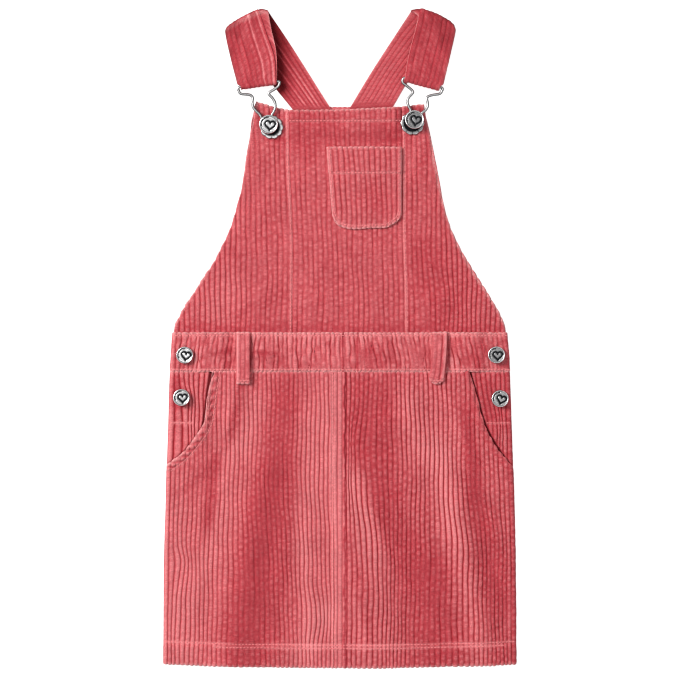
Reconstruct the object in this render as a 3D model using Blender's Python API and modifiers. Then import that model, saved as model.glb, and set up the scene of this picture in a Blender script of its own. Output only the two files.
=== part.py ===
"""Child's corduroy pinafore dress, laid flat and front up, with both straps folded over and buckled.

The dress lies on the plane Z = 0. +Y runs towards the straps and +Z out of the front.
Tables and sizes are in millimetres; MM turns them into Blender's metres.
Each cloth piece is a closed wall: ribs stand on its outer face, and its inside is plain.
"""
import math
from collections import namedtuple

import bmesh
import bpy
from mathutils import Vector

MM = 0.001

# Cloth
WALE_PITCH = 4.65
RIB_HEIGHT = 0.9
WALL = 1.2
BACK_WALL = 1.9
BAND_WALL = 2.2
HEM_EXTRA = 0.9
LAYER_GAP = 0.3
SEAM_GAP = 0.3
EDGE_WIDTH = 2.0
EDGE_DROP = 0.5
SIDE_ROLL_WIDTH = 5.0
SIDE_ROLL = 0.9
INSIDE_STEP = 6
INSIDE_TOLERANCE = 0.5
RIB_PROFILE = ((0.0, 0.0), (0.5, 1.0))
SMOOTH_ANGLE = math.radians(40.0)

# Outline
WAIST_TOP = 4.2
WAIST_BOTTOM = -31.0
FRONT_SEAM_X = 2.25
# How far a curved bib seam bends the wales on either side of it
PRINCESS_SPREAD = 30.0
HEM_Y = -303.65
HEM_RISE = 3.5
HEM_DEPTH = 20.6
BIB_HEM_Y = 199.3
BIB_CORNER_LEFT = -76.5
BIB_CORNER_RIGHT = 77.6
BIB_TIP_X = 152.4
BACK_INSET = 1.5
BACK_COLUMN = 8.0

# Half width of the skirt and waistband against height: (y, half width)
SIDE = (
    (-304.0, 162.5),
    (-212.0, 161.9),
    (-148.0, 160.2),
    (-80.0, 158.0),
    (-37.0, 156.7),
    (4.2, 154.0),
)
# Armhole: (distance from the middle, y)
ARMHOLE = (
    (76.5, 217.0),
    (83.1, 184.0),
    (87.5, 157.0),
    (92.7, 132.0),
    (102.2, 100.0),
    (112.5, 77.0),
    (125.4, 55.0),
    (138.0, 36.0),
    (147.0, 21.0),
    (151.8, 10.0),
    (154.2, 2.0),
)
# Seams between the middle and sides of the bib: (y, x)
PRINCESS_LEFT = (
    (4.5, -43.4),
    (55.0, -42.9),
    (86.0, -42.7),
    (130.0, -44.5),
    (170.0, -46.2),
    (210.0, -46.4),
)
PRINCESS_RIGHT = (
    (4.5, 59.5),
    (47.0, 59.3),
    (64.0, 58.5),
    (97.0, 57.6),
    (174.0, 57.4),
    (212.0, 56.5),
)
# Top of the bib: (x, y)
BIB_TOP = (
    (-77.0, 216.9),
    (-60.0, 211.9),
    (-44.0, 208.8),
    (0.0, 209.3),
    (28.0, 210.6),
    (54.0, 212.0),
    (78.0, 214.7),
)
# Top of the back bib: (distance from the middle, y). It shows only between the straps.
BACK_TOP = ((0.0, 212.0), (30.0, 212.0), (44.0, 206.5), (80.0, 206.5))
# Hip-pocket curves: (distance from the middle, y)
POCKET_CURVE = {
    -1: (
        (117.2, -31.3),
        (118.9, -41.8),
        (121.1, -55.2),
        (122.9, -70.8),
        (125.6, -79.7),
        (131.7, -89.8),
        (145.7, -106.5),
        (158.6, -116.5),
    ),
    1: (
        (118.8, -31.3),
        (120.6, -39.6),
        (123.9, -50.7),
        (127.7, -65.3),
        (132.8, -80.8),
        (143.9, -100.9),
        (152.9, -112.0),
        (158.8, -119.6),
    ),
}
POCKET_TUCK = 16.0
TUCK_DROP = 14.0
FACING_RIB_FADE = 6.0
BAND_LIFT = 1.4
# How far the skirt front stands off at the pocket edge: (distance in from the edge, lift)
POCKET_LIFT = ((0.0, 2.6), (8.0, 2.0), (22.0, 1.65), (32.0, 0.6), (42.0, 0.0))

# Soft folds that fan out down the skirt front
Fold = namedtuple("Fold", "top_x bottom_x top_y width height")
FOLDS = (
    Fold(top_x=-58.0, bottom_x=-104.0, top_y=-48.0, width=17.0, height=3.2),
    Fold(top_x=10.0, bottom_x=38.0, top_y=-70.0, width=24.0, height=2.6),
    Fold(top_x=90.0, bottom_x=137.0, top_y=-60.0, width=15.0, height=2.8),
)

# Chest pocket
POCKET_LEFT_X = -12.1
POCKET_RIGHT_X = 57.0
POCKET_TOP_Y = 175.0
POCKET_HEM_Y = 151.3
POCKET_LEAN = 4.8
POCKET_LEAN_DEPTH = 61.0
# Lower edge of the chest pocket: (x at the top, y)
POCKET_FOOT = (
    (-12.1, 113.7),
    (-8.0, 105.4),
    (-3.0, 102.2),
    (9.0, 99.9),
    (26.0, 100.8),
    (40.0, 101.2),
    (44.0, 103.8),
    (54.0, 109.1),
    (57.0, 110.9),
)

# Belt loops
Loop = namedtuple("Loop", "name left right lean round")
LOOPS = (
    Loop(name="belt_loop_left", left=-95.0, right=-82.7, lean=0.0, round=0.0),
    Loop(name="belt_loop_right", left=85.4, right=98.8, lean=-3.6, round=4.0),
)
LOOP_TOP_Y = 4.8
LOOP_BOTTOM_Y = -42.4
LOOP_WALL = 1.8
LOOP_SEAT_TOP = 5.7
LOOP_SEAT_BOTTOM = 6.3
LOOP_ARCH = 1.6
LOOP_WALES = 3

# Straps: outer means away from the middle of the dress. All points are (x, y).
STRAP_THICK = 2.0
STRAP_BASE_THICK = 1.2
STRAP_RIB = 0.7
STRAP_BASE_Y = 199.0
STRAP_BASE_Z = BACK_WALL + LAYER_GAP + STRAP_BASE_THICK / 2
STRAP_LOW_Z = 1.0
STRAP_RAMP_Y = 178.0
STRAP_FULL_Y = 194.0
STRAP_LIFT_LEFT = (-54.0, -44.5)
STRAP_LIFT_RIGHT = (50.0, 57.0)
STRAP_BEND_R = 2.7
STRAP_BAR_Z = 8.7
STRAP_RETURN = 20.0
STRAP_WALES = 8
STRAP_BACK_ROWS = 6
STRAP_TURN_ROWS = 5
STRAP_FRONT_ROWS = (0.06, 0.15, 0.3, 0.5, 0.72, 0.9)
STRAP_RETURN_ROWS = 2
STRAP_RIB_GROWTH = 6.0
STRIP_DROP = 0.9
STRIP_PROFILE = ((0.0, 0.0), (0.5, 1.0), (1.0, 0.0))
WRAP_TUCK = 2.4
WIRE_R = 1.0
Strap = namedtuple(
    "Strap",
    "side clear_y fold_outer fold_inner back_outer back_inner front_outer front_inner end_outer end_inner"
    " fold_edge strip bow",
)
# fold_edge: share of the width where the narrow inner strip starts, at the fold
# strip: the same share on the front, against the share of its length
# bow: how far the fold reaches out past the line between its ends, against the share of the width
STRAPS = {
    "left": Strap(
        side=-1,
        clear_y=209.8,
        fold_outer=(-104.7, 286.8),
        fold_inner=(-67.5, 303.4),
        back_outer=((-35.0, 199.0), (-43.8, 210.3), (-57.3, 227.0), (-104.7, 286.0)),
        back_inner=((-1.0, 199.0), (-9.2, 212.3), (-47.0, 272.3), (-65.9, 300.5)),
        front_outer=((-105.3, 285.2), (-105.5, 281.0), (-100.2, 255.8), (-93.6, 229.5), (-92.9, 225.0)),
        front_inner=((-66.0, 301.0), (-63.0, 284.2), (-58.7, 265.1), (-57.8, 251.4), (-57.8, 232.0)),
        end_outer=(-92.9, 225.9),
        end_inner=(-57.8, 231.0),
        fold_edge=0.80,
        strip=((0.0, 0.80), (0.3, 0.865), (0.55, 0.91), (0.75, 0.955), (1.0, 0.97)),
        bow=((0.0, 0.0), (0.1, 1.2), (0.25, 2.2), (0.45, 3.1), (0.7, 3.4), (0.87, 3.0), (1.0, -0.9)),
    ),
    "right": Strap(
        side=1,
        clear_y=212.4,
        fold_outer=(106.0, 287.3),
        fold_inner=(66.0, 306.3),
        back_outer=((38.5, 199.0), (49.2, 212.8), (59.6, 230.7), (105.8, 286.0)),
        back_inner=((1.6, 199.0), (9.6, 212.0), (26.6, 240.5), (65.0, 299.5)),
        front_outer=((106.5, 285.0), (106.2, 281.5), (101.3, 259.0), (94.0, 228.0), (93.5, 224.5)),
        front_inner=((72.9, 301.0), (71.8, 293.5), (69.4, 283.0), (63.2, 259.0), (59.3, 235.5)),
        end_outer=(93.5, 225.4),
        end_inner=(60.5, 234.2),
        fold_edge=0.83,
        strip=((0.0, 0.97), (1.0, 0.975)),
        bow=((0.0, -0.7), (0.06, 1.0), (0.2, 2.6), (0.45, 3.2), (0.65, 2.5), (0.8, 1.6), (1.0, -3.0)),
    ),
}

# Wire buckles: the legs' points from the bar down to the keyhole, (x, y, z)
NECK_R = 3.2
KEYHOLE_R = 5.2
KEYHOLE_RISE = 0.6
KEYHOLE_FROM = 165.0
KEYHOLE_TO = 375.0
KEYHOLE_STEPS = 10
BAR_Z = STRAP_BAR_Z - WIRE_R - LAYER_GAP - STRAP_THICK / 2
BAR_OVERHANG_OUTER = -0.9
BAR_OVERHANG_INNER = 2.0
WIRE_Z = 7.1
WIRE_POINTS = 46
BUCKLE_LEGS = {
    "left": {
        "outer": (
            (-92.7, 226.4, 6.4),
            (-90.6, 223.9, 6.4),
            (-83.0, 223.0, 6.5),
            (-80.2, 220.6, 6.6),
            (-80.4, 216.0, 6.8),
            (-79.6, 211.8, 7.0),
            (-77.0, 208.0, 7.1),
            (-73.5, 204.6, 7.1),
        ),
        "inner": (
            (-56.2, 231.6, 6.4),
            (-59.6, 228.4, 6.4),
            (-65.2, 224.4, 6.5),
            (-62.1, 220.2, 6.7),
            (-59.8, 216.3, 6.8),
            (-59.2, 212.0, 6.9),
            (-60.7, 207.4, 7.1),
            (-62.3, 204.2, 7.1),
        ),
    },
    "right": {
        "outer": (
            (93.5, 226.2, 6.4),
            (91.6, 223.9, 6.4),
            (85.6, 222.9, 6.4),
            (80.9, 221.4, 6.5),
            (80.1, 218.8, 6.7),
            (80.9, 213.6, 6.9),
            (79.0, 209.2, 7.0),
            (75.3, 206.2, 7.1),
        ),
        "inner": (
            (57.8, 234.4, 6.4),
            (62.3, 230.6, 6.4),
            (67.2, 225.6, 6.5),
            (63.7, 221.0, 6.7),
            (62.1, 217.4, 6.8),
            (63.1, 212.5, 7.0),
            (64.9, 208.4, 7.1),
        ),
    },
}

# Buttons
BIB_CAP = {"left": (-65.4, 195.5), "right": (68.4, 199.9)}
BIB_BASE = {"left": (-62.9, 193.4), "right": (66.7, 197.0)}
BIB_CAP_R = 8.7
BASE_R = 10.0
BASE_SCALLOP = 0.6
BASE_PETALS = 10
BASE_POINTS_PER_PETAL = 5
BASE_THICK = 1.2
BASE_Z = 4.6
BIB_CAP_Z = 8.4
SIDE_CAP_R = 7.8
SIDE_NECK_R = 2.6
SIDE_NECK = 1.2
SIDE_BUTTONS = {
    "side_button_upper_left": (-142.4, -16.1, 5.6),
    "side_button_lower_left": (-145.5, -55.0, 4.6),
    "side_button_upper_right": (143.7, -15.9, 5.6),
    "side_button_lower_right": (147.1, -56.1, 4.6),
}
BUTTON_SIDES = 18
# Cap of a button from the axis down its outside: (share of the radius, height over the underside)
CAP_PROFILE = ((0.0, 1.9), (0.78, 1.8), (0.86, 2.5), (0.95, 2.4), (1.0, 1.4), (0.93, 0.0))

CLOTH_COLOUR = (0.60, 0.090, 0.110, 1.0)
INSIDE_COLOUR = (0.50, 0.085, 0.100, 1.0)
METAL_COLOUR = (0.52, 0.53, 0.54, 1.0)


def clamp(value, low, high):
    return min(max(value, low), high)


def mix(start, end, share):
    return start + (end - start) * share


def ease(low, high, value):
    """0 up to low, 1 from high, and a smooth rise between them."""
    share = clamp((value - low) / (high - low), 0.0, 1.0)
    return share * share * (3.0 - 2.0 * share)


def smooth_curve(rows):
    """A function through the rows (place, value): it never overshoots them and is level past its ends."""
    rows = sorted(rows)
    places = [row[0] for row in rows]
    values = [row[1] for row in rows]
    spans = [b - a for a, b in zip(places, places[1:])]
    slopes = [(b - a) / span for a, b, span in zip(values, values[1:], spans)]
    inner = [0.0 if a * b <= 0 else 2 * a * b / (a + b) for a, b in zip(slopes, slopes[1:])]
    tangents = [slopes[0]] + inner + [slopes[-1]]

    def at(place):
        place = clamp(place, places[0], places[-1])
        row = max(i for i in range(len(spans)) if places[i] <= place)
        t = (place - places[row]) / spans[row]
        rise = values[row + 1] - values[row]
        start = tangents[row] * spans[row]
        end = tangents[row + 1] * spans[row]
        return values[row] + t * (start + t * (3 * rise - 2 * start - end + t * (start + end - 2 * rise)))

    return at


def solve(miss, low, high, steps=40):
    """The place between low and high where miss(place) changes sign."""
    sign = 1 if miss(low) > 0 else -1
    for _ in range(steps):
        middle = (low + high) / 2
        if miss(middle) * sign > 0:
            low = middle
        else:
            high = middle
    return (low + high) / 2


UP = Vector((0.0, 0.0, 1.0))
side_at = smooth_curve(SIDE)
armhole_at = smooth_curve(ARMHOLE)
princess_left_at = smooth_curve(PRINCESS_LEFT)
princess_right_at = smooth_curve(PRINCESS_RIGHT)
bib_top_at = smooth_curve(BIB_TOP)
back_top_at = smooth_curve(BACK_TOP)
pocket_foot_at = smooth_curve(POCKET_FOOT)
pocket_lift_at = smooth_curve(POCKET_LIFT)
pocket_curve_at = {side: smooth_curve(rows) for side, rows in POCKET_CURVE.items()}
SIDE_AT_WAIST = side_at(WAIST_BOTTOM)


def pocket_line(side):
    """The hip-pocket edge as close points, for measuring distances to it."""
    rows = POCKET_CURVE[side]
    start = rows[0][0]
    end = rows[-1][0]
    places = [mix(start, end, i / 24) for i in range(25)]
    return [(side * place, pocket_curve_at[side](place)) for place in places]


POCKET_LINE = {side: pocket_line(side) for side in (-1, 1)}


# Heights of the layers


def side_roll(x, y):
    """How far the cloth rolls down towards the side seam."""
    room = clamp((side_at(y) - abs(x)) / SIDE_ROLL_WIDTH, 0.0, 1.0)
    return SIDE_ROLL * (1.0 - room) ** 2


def strap_lift(x, y):
    """The bib rides over the strap ends sewn between it and the back."""
    lift = STRAP_BASE_THICK + LAYER_GAP
    return lift * ease(STRAP_RAMP_Y, STRAP_FULL_Y, y) * ease(*STRAP_LIFT_LEFT, x) * (1.0 - ease(*STRAP_LIFT_RIGHT, x))


def pocket_distance(x, y):
    """Distance from the hip-pocket edge, positive on the skirt front and negative on the facing."""
    side = -1 if x < 0 else 1
    line = POCKET_LINE[side]
    point = Vector((x, y))
    nearest = min(
        distance_to_segment(point, Vector(start), Vector(end)) for start, end in zip(line, line[1:])
    )
    past_edge = abs(x) > POCKET_CURVE[side][0][0] and y > pocket_curve_at[side](abs(x))
    return -nearest if past_edge else nearest


def distance_to_segment(point, start, end):
    along = end - start
    share = clamp((point - start).dot(along) / along.length_squared, 0.0, 1.0)
    return (point - start - along * share).length


def fold_height(x, y):
    """The soft folds of the skirt front, which grow and lean outwards towards the hem."""
    height = 0.0
    for fold in FOLDS:
        share = (fold.top_y - y) / (fold.top_y - HEM_Y)
        if share > 0:
            middle = mix(fold.top_x, fold.bottom_x, share)
            crest = math.exp(-(((x - middle) / fold.width) ** 2))
            height += fold.height * crest * ease(0.0, 0.45, share)
    return height


def bib_inside(x, y):
    return BACK_WALL + LAYER_GAP + strap_lift(x, y)


def band_inside(x, y):
    bump = ease(99.0, 110.0, abs(x)) * (1.0 - ease(124.0, 136.0, abs(x)))
    return BACK_WALL + LAYER_GAP + BAND_LIFT * bump - side_roll(x, y)


def skirt_inside(x, y):
    lift = pocket_lift_at(pocket_distance(x, y))
    fold = fold_height(x, y) * ease(0.0, 14.0, side_at(y) - abs(x))
    return BACK_WALL + LAYER_GAP + lift + fold - side_roll(x, y)


def facing_inside(x, y):
    return BACK_WALL + LAYER_GAP - side_roll(x, y)


def pocket_inside(x, y):
    """The chest pocket lies on the crests of the bib's ribs."""
    return bib_inside(x, y) + WALL + RIB_HEIGHT + LAYER_GAP


# Cloth walls


def wale_columns(start, end, wales=None):
    """Columns (place, crest) across a ribbed panel, from a valley at one edge to a valley at the other."""
    wales = wales or round((end - start) / WALE_PITCH)
    pitch = (end - start) / wales
    columns = [
        (start + (wale + share) * pitch, crest)
        for wale in range(wales)
        for share, crest in RIB_PROFILE
    ]
    return columns + [(end, 0.0)]


def plain_columns(start, end, width):
    """Columns across a plain panel, each at most width apart."""
    count = math.ceil((end - start) / width)
    return [(mix(start, end, i / count), 0.0) for i in range(count + 1)]


def row_places(low, high, breaks, parts):
    """Heights of a column's points, with parts[i] steps in each stretch between its edges and breaks."""
    edge = min(EDGE_WIDTH, (high - low) / 4)
    stations = [low, low + edge, *breaks, high - edge, high]
    if stations != sorted(stations):
        count = len(stations) - 1
        stations = [mix(low, high, i / count) for i in range(count + 1)]
    places = [low]
    for start, end, steps in zip(stations, stations[1:], parts):
        places += [mix(start, end, (i + 1) / steps) for i in range(steps)]
    return places


def inside_columns(columns, ends):
    """The columns that a plain inside keeps: those near its sides, and fewer where its ends run straight."""
    last = len(columns) - 1
    kept = [0]
    for index in range(1, last):
        near_side = min(index, last - index) <= 2
        if near_side or index - kept[-1] == INSIDE_STEP or strays(columns, ends, kept[-1], index + 1):
            kept.append(index)
    return kept + [last]


def strays(columns, ends, first, last):
    """Whether an end of a column between two others lies off the line between theirs."""
    start = columns[first][0]
    stop = columns[last][0]
    for place, _ in columns[first + 1 : last]:
        share = (place - start) / (stop - start)
        for value, a, b in zip(ends(place), ends(start), ends(stop)):
            if abs(value - mix(a, b, share)) > INSIDE_TOLERANCE:
                return True
    return False


def panel(name, columns, ends, inside, thickness, parts, breaks=(), x_at=None):
    """One closed cloth wall: thickness(x, y, crest) on inside(x, y), less a rounding at both ends."""
    x_at = x_at or (lambda place, y: place)
    bm = bmesh.new()
    tops = []
    unders = []
    kept = inside_columns(columns, ends)
    for index, (place, crest) in enumerate(columns):
        low, high = ends(place)
        points = [(x_at(place, y), y) for y in row_places(low, high, breaks, parts)]
        top = []
        for x, y in points:
            room = min(y - low, high - y)
            drop = EDGE_DROP * (1.0 - clamp(room / EDGE_WIDTH, 0.0, 1.0)) ** 2
            z = inside(x, y) + thickness(x, y, crest) - drop
            top.append(bm.verts.new(Vector((x, y, z)) * MM))
        tops.append(top)
        if index in kept:
            unders.append([bm.verts.new(Vector((x, y, inside(x, y))) * MM) for x, y in points])
    skin(bm, tops)
    skin(bm, [list(reversed(column)) for column in unders])
    close_ends(bm, tops, unders, kept, 0)
    close_ends(bm, tops, unders, kept, -1)
    close_side(bm, tops[0], unders[0])
    close_side(bm, unders[-1], tops[-1])
    return mesh_object(name, bm)


def skin(bm, columns):
    """Faces between neighbouring columns of points."""
    for left, right in zip(columns, columns[1:]):
        for i in range(len(left) - 1):
            bm.faces.new((left[i], right[i], right[i + 1], left[i + 1]))


def close_side(bm, front, back):
    """The narrow wall between two columns, one over the other."""
    for i in range(len(front) - 1):
        bm.faces.new((front[i], front[i + 1], back[i + 1], back[i]))


def close_ends(bm, tops, unders, kept, row):
    """The narrow wall at one end of every column, where the outer face has more points than the inside."""
    for (first, last), left, right in zip(zip(kept, kept[1:]), unders, unders[1:]):
        upper = [tops[i][row] for i in range(first, last + 1)]
        middle = len(upper) // 2
        loop = [(left[row], a, b) for a, b in zip(upper[: middle + 1], upper[1 : middle + 1])]
        loop.append((left[row], upper[middle], right[row]))
        loop += [(right[row], a, b) for a, b in zip(upper[middle:], upper[middle + 1 :])]
        for corners in loop:
            bm.faces.new(corners if row else tuple(reversed(corners)))


def mesh_object(name, bm):
    bmesh.ops.recalc_face_normals(bm, faces=bm.faces)
    mesh = bpy.data.meshes.new(name)
    bm.to_mesh(mesh)
    bm.free()
    part = bpy.data.objects.new(name, mesh)
    PARTS.objects.link(part)
    return part


def cloth(x, y, crest):
    return WALL + RIB_HEIGHT * crest


def skirt_x(place, y):
    """Columns of the skirt spread with its side seams and stay upright at the middle seam."""
    side = -1 if place < FRONT_SEAM_X else 1
    share = (place - FRONT_SEAM_X) / (side * SIDE_AT_WAIST - FRONT_SEAM_X)
    return FRONT_SEAM_X + share * (side * side_at(y) - FRONT_SEAM_X)


def hem_at(x):
    return HEM_Y + HEM_RISE * (x / side_at(HEM_Y)) ** 2


def bib_edge(x):
    """Upper edge of the bib: its top between the corners and the armhole beyond them."""
    if BIB_CORNER_LEFT <= x <= BIB_CORNER_RIGHT:
        return bib_top_at(x)
    return min(armhole_at(abs(x)), bib_top_at(x))


def bib_x(place, y):
    """Columns of the bib bend with its two long seams."""
    x = place
    for seam, seam_at in ((PRINCESS_LEFT, princess_left_at), (PRINCESS_RIGHT, princess_right_at)):
        at_top = seam[-1][1]
        x += (seam_at(y) - at_top) * (1.0 - ease(0.0, PRINCESS_SPREAD, abs(place - at_top)))
    return x


def make_bib():
    def ends(x):
        return WAIST_TOP + SEAM_GAP, bib_edge(x)

    def hemmed(x, y, crest):
        return cloth(x, y, crest) + HEM_EXTRA * ease(BIB_HEM_Y - 0.5, BIB_HEM_Y + 1.5, y)

    half = SEAM_GAP / 2
    left_x = PRINCESS_LEFT[-1][1]
    right_x = PRINCESS_RIGHT[-1][1]
    left = wale_columns(-BIB_TIP_X, left_x - half)
    middle = wale_columns(left_x + half, right_x - half)
    right = wale_columns(right_x + half, BIB_TIP_X)
    breaks = (STRAP_RAMP_Y, STRAP_FULL_Y)
    panel("bib_side_left", left, ends, bib_inside, cloth, (1, 3, 2, 1, 1), breaks, bib_x)
    panel("bib_side_right", right, ends, bib_inside, cloth, (1, 3, 2, 1, 1), breaks, bib_x)
    breaks += (BIB_HEM_Y - 0.5, BIB_HEM_Y + 1.5)
    panel("bib_centre", middle, ends, bib_inside, hemmed, (1, 3, 2, 1, 1, 1, 1), breaks, bib_x)


def make_chest_pocket():
    span = POCKET_RIGHT_X - POCKET_LEFT_X

    def x_at(place, y):
        lean = POCKET_LEAN * min((POCKET_TOP_Y - y) / POCKET_LEAN_DEPTH, 1.0)
        return place + lean * (POCKET_RIGHT_X - place) / span

    def ends(place):
        return pocket_foot_at(place), POCKET_TOP_Y

    def hemmed(x, y, crest):
        return cloth(x, y, crest) + HEM_EXTRA * ease(POCKET_HEM_Y - 0.5, POCKET_HEM_Y + 1.5, y)

    panel(
        "bib_pocket",
        wale_columns(POCKET_LEFT_X, POCKET_RIGHT_X),
        ends,
        pocket_inside,
        hemmed,
        (1, 2, 1, 1, 1),
        (POCKET_HEM_Y - 0.5, POCKET_HEM_Y + 1.5),
        x_at,
    )


def make_waistband():
    def x_at(place, y):
        return place * side_at(y) / SIDE_AT_WAIST

    def band(x, y, crest):
        return BAND_WALL + RIB_HEIGHT * crest

    panel(
        "waistband_front",
        wale_columns(-SIDE_AT_WAIST, SIDE_AT_WAIST),
        lambda place: (WAIST_BOTTOM, WAIST_TOP),
        band_inside,
        band,
        (1, 1, 1),
        x_at=x_at,
    )


def pocket_top(place):
    """Top of the skirt front at a column: the waist seam, or the hip-pocket edge beyond its start."""
    side = -1 if place < 0 else 1
    y = WAIST_BOTTOM - SEAM_GAP
    if abs(place) > POCKET_CURVE[side][0][0]:
        for _ in range(12):
            y = pocket_curve_at[side](abs(skirt_x(place, y)))
    return y


def make_skirt_front():
    hem_line = HEM_Y + HEM_DEPTH

    def ends(place):
        return hem_at(skirt_x(place, HEM_Y)), pocket_top(place)

    def hemmed(x, y, crest):
        return cloth(x, y, crest) + HEM_EXTRA * (1.0 - ease(hem_line - 1.5, hem_line + 0.5, y))

    half = SEAM_GAP / 2
    halves = {
        "skirt_front_left": wale_columns(-SIDE_AT_WAIST, FRONT_SEAM_X - half),
        "skirt_front_right": wale_columns(FRONT_SEAM_X + half, SIDE_AT_WAIST),
    }
    breaks = (hem_line - 1.5, hem_line + 0.5)
    for name, columns in halves.items():
        panel(name, columns, ends, skirt_inside, hemmed, (1, 1, 1, 6, 1), breaks, skirt_x)


def make_pocket_facings():
    def ends(place):
        side = -1 if place < 0 else 1
        last = POCKET_CURVE[side][-1][0]
        foot = pocket_curve_at[side](min(abs(place) + POCKET_TUCK, last)) - TUCK_DROP
        return foot, WAIST_BOTTOM - SEAM_GAP

    def fading(x, y, crest):
        return WALL + RIB_HEIGHT * crest * (1.0 - ease(0.0, FACING_RIB_FADE, pocket_distance(x, y)))

    for name, side in (("pocket_facing_left", -1), ("pocket_facing_right", 1)):
        inner = POCKET_CURVE[side][0][0] - POCKET_TUCK
        start, end = sorted((side * inner, side * SIDE_AT_WAIST))
        panel(name, wale_columns(start, end), ends, facing_inside, fading, (1, 6, 1), (), skirt_x)


def make_belt_loops():
    for loop in LOOPS:
        width = loop.right - loop.left

        def x_at(place, y, loop=loop):
            share = (LOOP_TOP_Y - y) / (LOOP_TOP_Y - LOOP_BOTTOM_Y)
            return place + loop.lean * share * share

        def ends(place, loop=loop, width=width):
            from_edge = min(place - loop.left, loop.right - place) / width
            return LOOP_BOTTOM_Y + loop.round * (1.0 - ease(0.0, 0.35, from_edge)), LOOP_TOP_Y

        def inside(x, y):
            share = clamp((y - LOOP_BOTTOM_Y) / (LOOP_TOP_Y - LOOP_BOTTOM_Y), 0.0, 1.0)
            return mix(LOOP_SEAT_BOTTOM, LOOP_SEAT_TOP, share) + LOOP_ARCH * math.sin(math.pi * share)

        def strip(x, y, crest):
            return LOOP_WALL + STRAP_RIB * crest

        columns = wale_columns(loop.left, loop.right, LOOP_WALES)
        panel(loop.name, columns, ends, inside, strip, (1, 6, 1), (), x_at)


def make_back():
    """The back's three panels: flat underneath, thinner towards the side seams."""

    def under(x, y):
        return 0.0

    def wall(x, y, crest):
        return BACK_WALL - side_roll(x, y)

    def plain_wall(x, y, crest):
        return BACK_WALL

    def band_x(place, y):
        return place * side_at(y) / SIDE_AT_WAIST

    def bib_ends(x):
        edge = back_top_at(abs(x))
        if abs(x) > corner:
            edge = min(edge, armhole_at(abs(x) + BACK_INSET))
        return WAIST_TOP + SEAM_GAP, edge

    def skirt_ends(place):
        return hem_at(skirt_x(place, HEM_Y)), WAIST_BOTTOM - SEAM_GAP

    roll = SIDE_ROLL_WIDTH / 2
    inner = SIDE_AT_WAIST - 2 * roll
    columns = plain_columns(-inner, inner, 2 * BACK_COLUMN)
    edges = [(SIDE_AT_WAIST - roll, 0.0), (SIDE_AT_WAIST, 0.0)]
    columns = [(-place, 0.0) for place, _ in reversed(edges)] + columns + edges
    panel("skirt_back", columns, skirt_ends, under, wall, (1, 4, 1), (), skirt_x)
    band_ends = (WAIST_BOTTOM, WAIST_TOP)
    panel("waistband_back", columns, lambda place: band_ends, under, wall, (1, 1, 1), (), band_x)
    tip = BIB_TIP_X - BACK_INSET
    corner = ARMHOLE[0][0] - BACK_INSET
    side_columns = plain_columns(corner, tip, BACK_COLUMN / 2)
    bib_columns = [(-place, 0.0) for place, _ in reversed(side_columns)]
    bib_columns += plain_columns(-corner, corner, 2 * BACK_COLUMN)[1:-1] + side_columns
    panel("bib_back", bib_columns, bib_ends, under, plain_wall, (1, 1, 1))


# Straps


class FoldFrame:
    """Plan coordinates measured from a strap's fold line: along it, and in from it."""

    def __init__(self, strap):
        self.origin = Vector(strap.fold_outer)
        self.along = (Vector(strap.fold_inner) - self.origin).normalized()
        self.inward = Vector((self.along.y, -self.along.x)) * -strap.side

    def rail(self, points):
        """Where a strap edge lies along the fold line, against the distance in from it."""
        offsets = [Vector(point) - self.origin for point in points]
        return smooth_curve([(o.dot(self.inward), o.dot(self.along)) for o in offsets])

    def point(self, outer, inner, across, depth):
        along = mix(outer(depth), inner(depth), across)
        return self.origin + self.along * along + self.inward * depth


def strap_columns(strap):
    """Columns (wale, crest, in the strip) of a strap: its wales, then the narrow strip beyond them."""
    columns = [
        (wale + share, crest, False)
        for wale in range(STRAP_WALES)
        for share, crest in RIB_PROFILE
    ]
    return columns + [(STRAP_WALES + share, crest, True) for share, crest in STRIP_PROFILE]


def strap_across(wale, edge):
    """Share of the strap's width for a wale, where edge is the share that the strip starts at."""
    if wale <= STRAP_WALES:
        return edge * wale / STRAP_WALES
    return mix(edge, 1.0, wale - STRAP_WALES)


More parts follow.
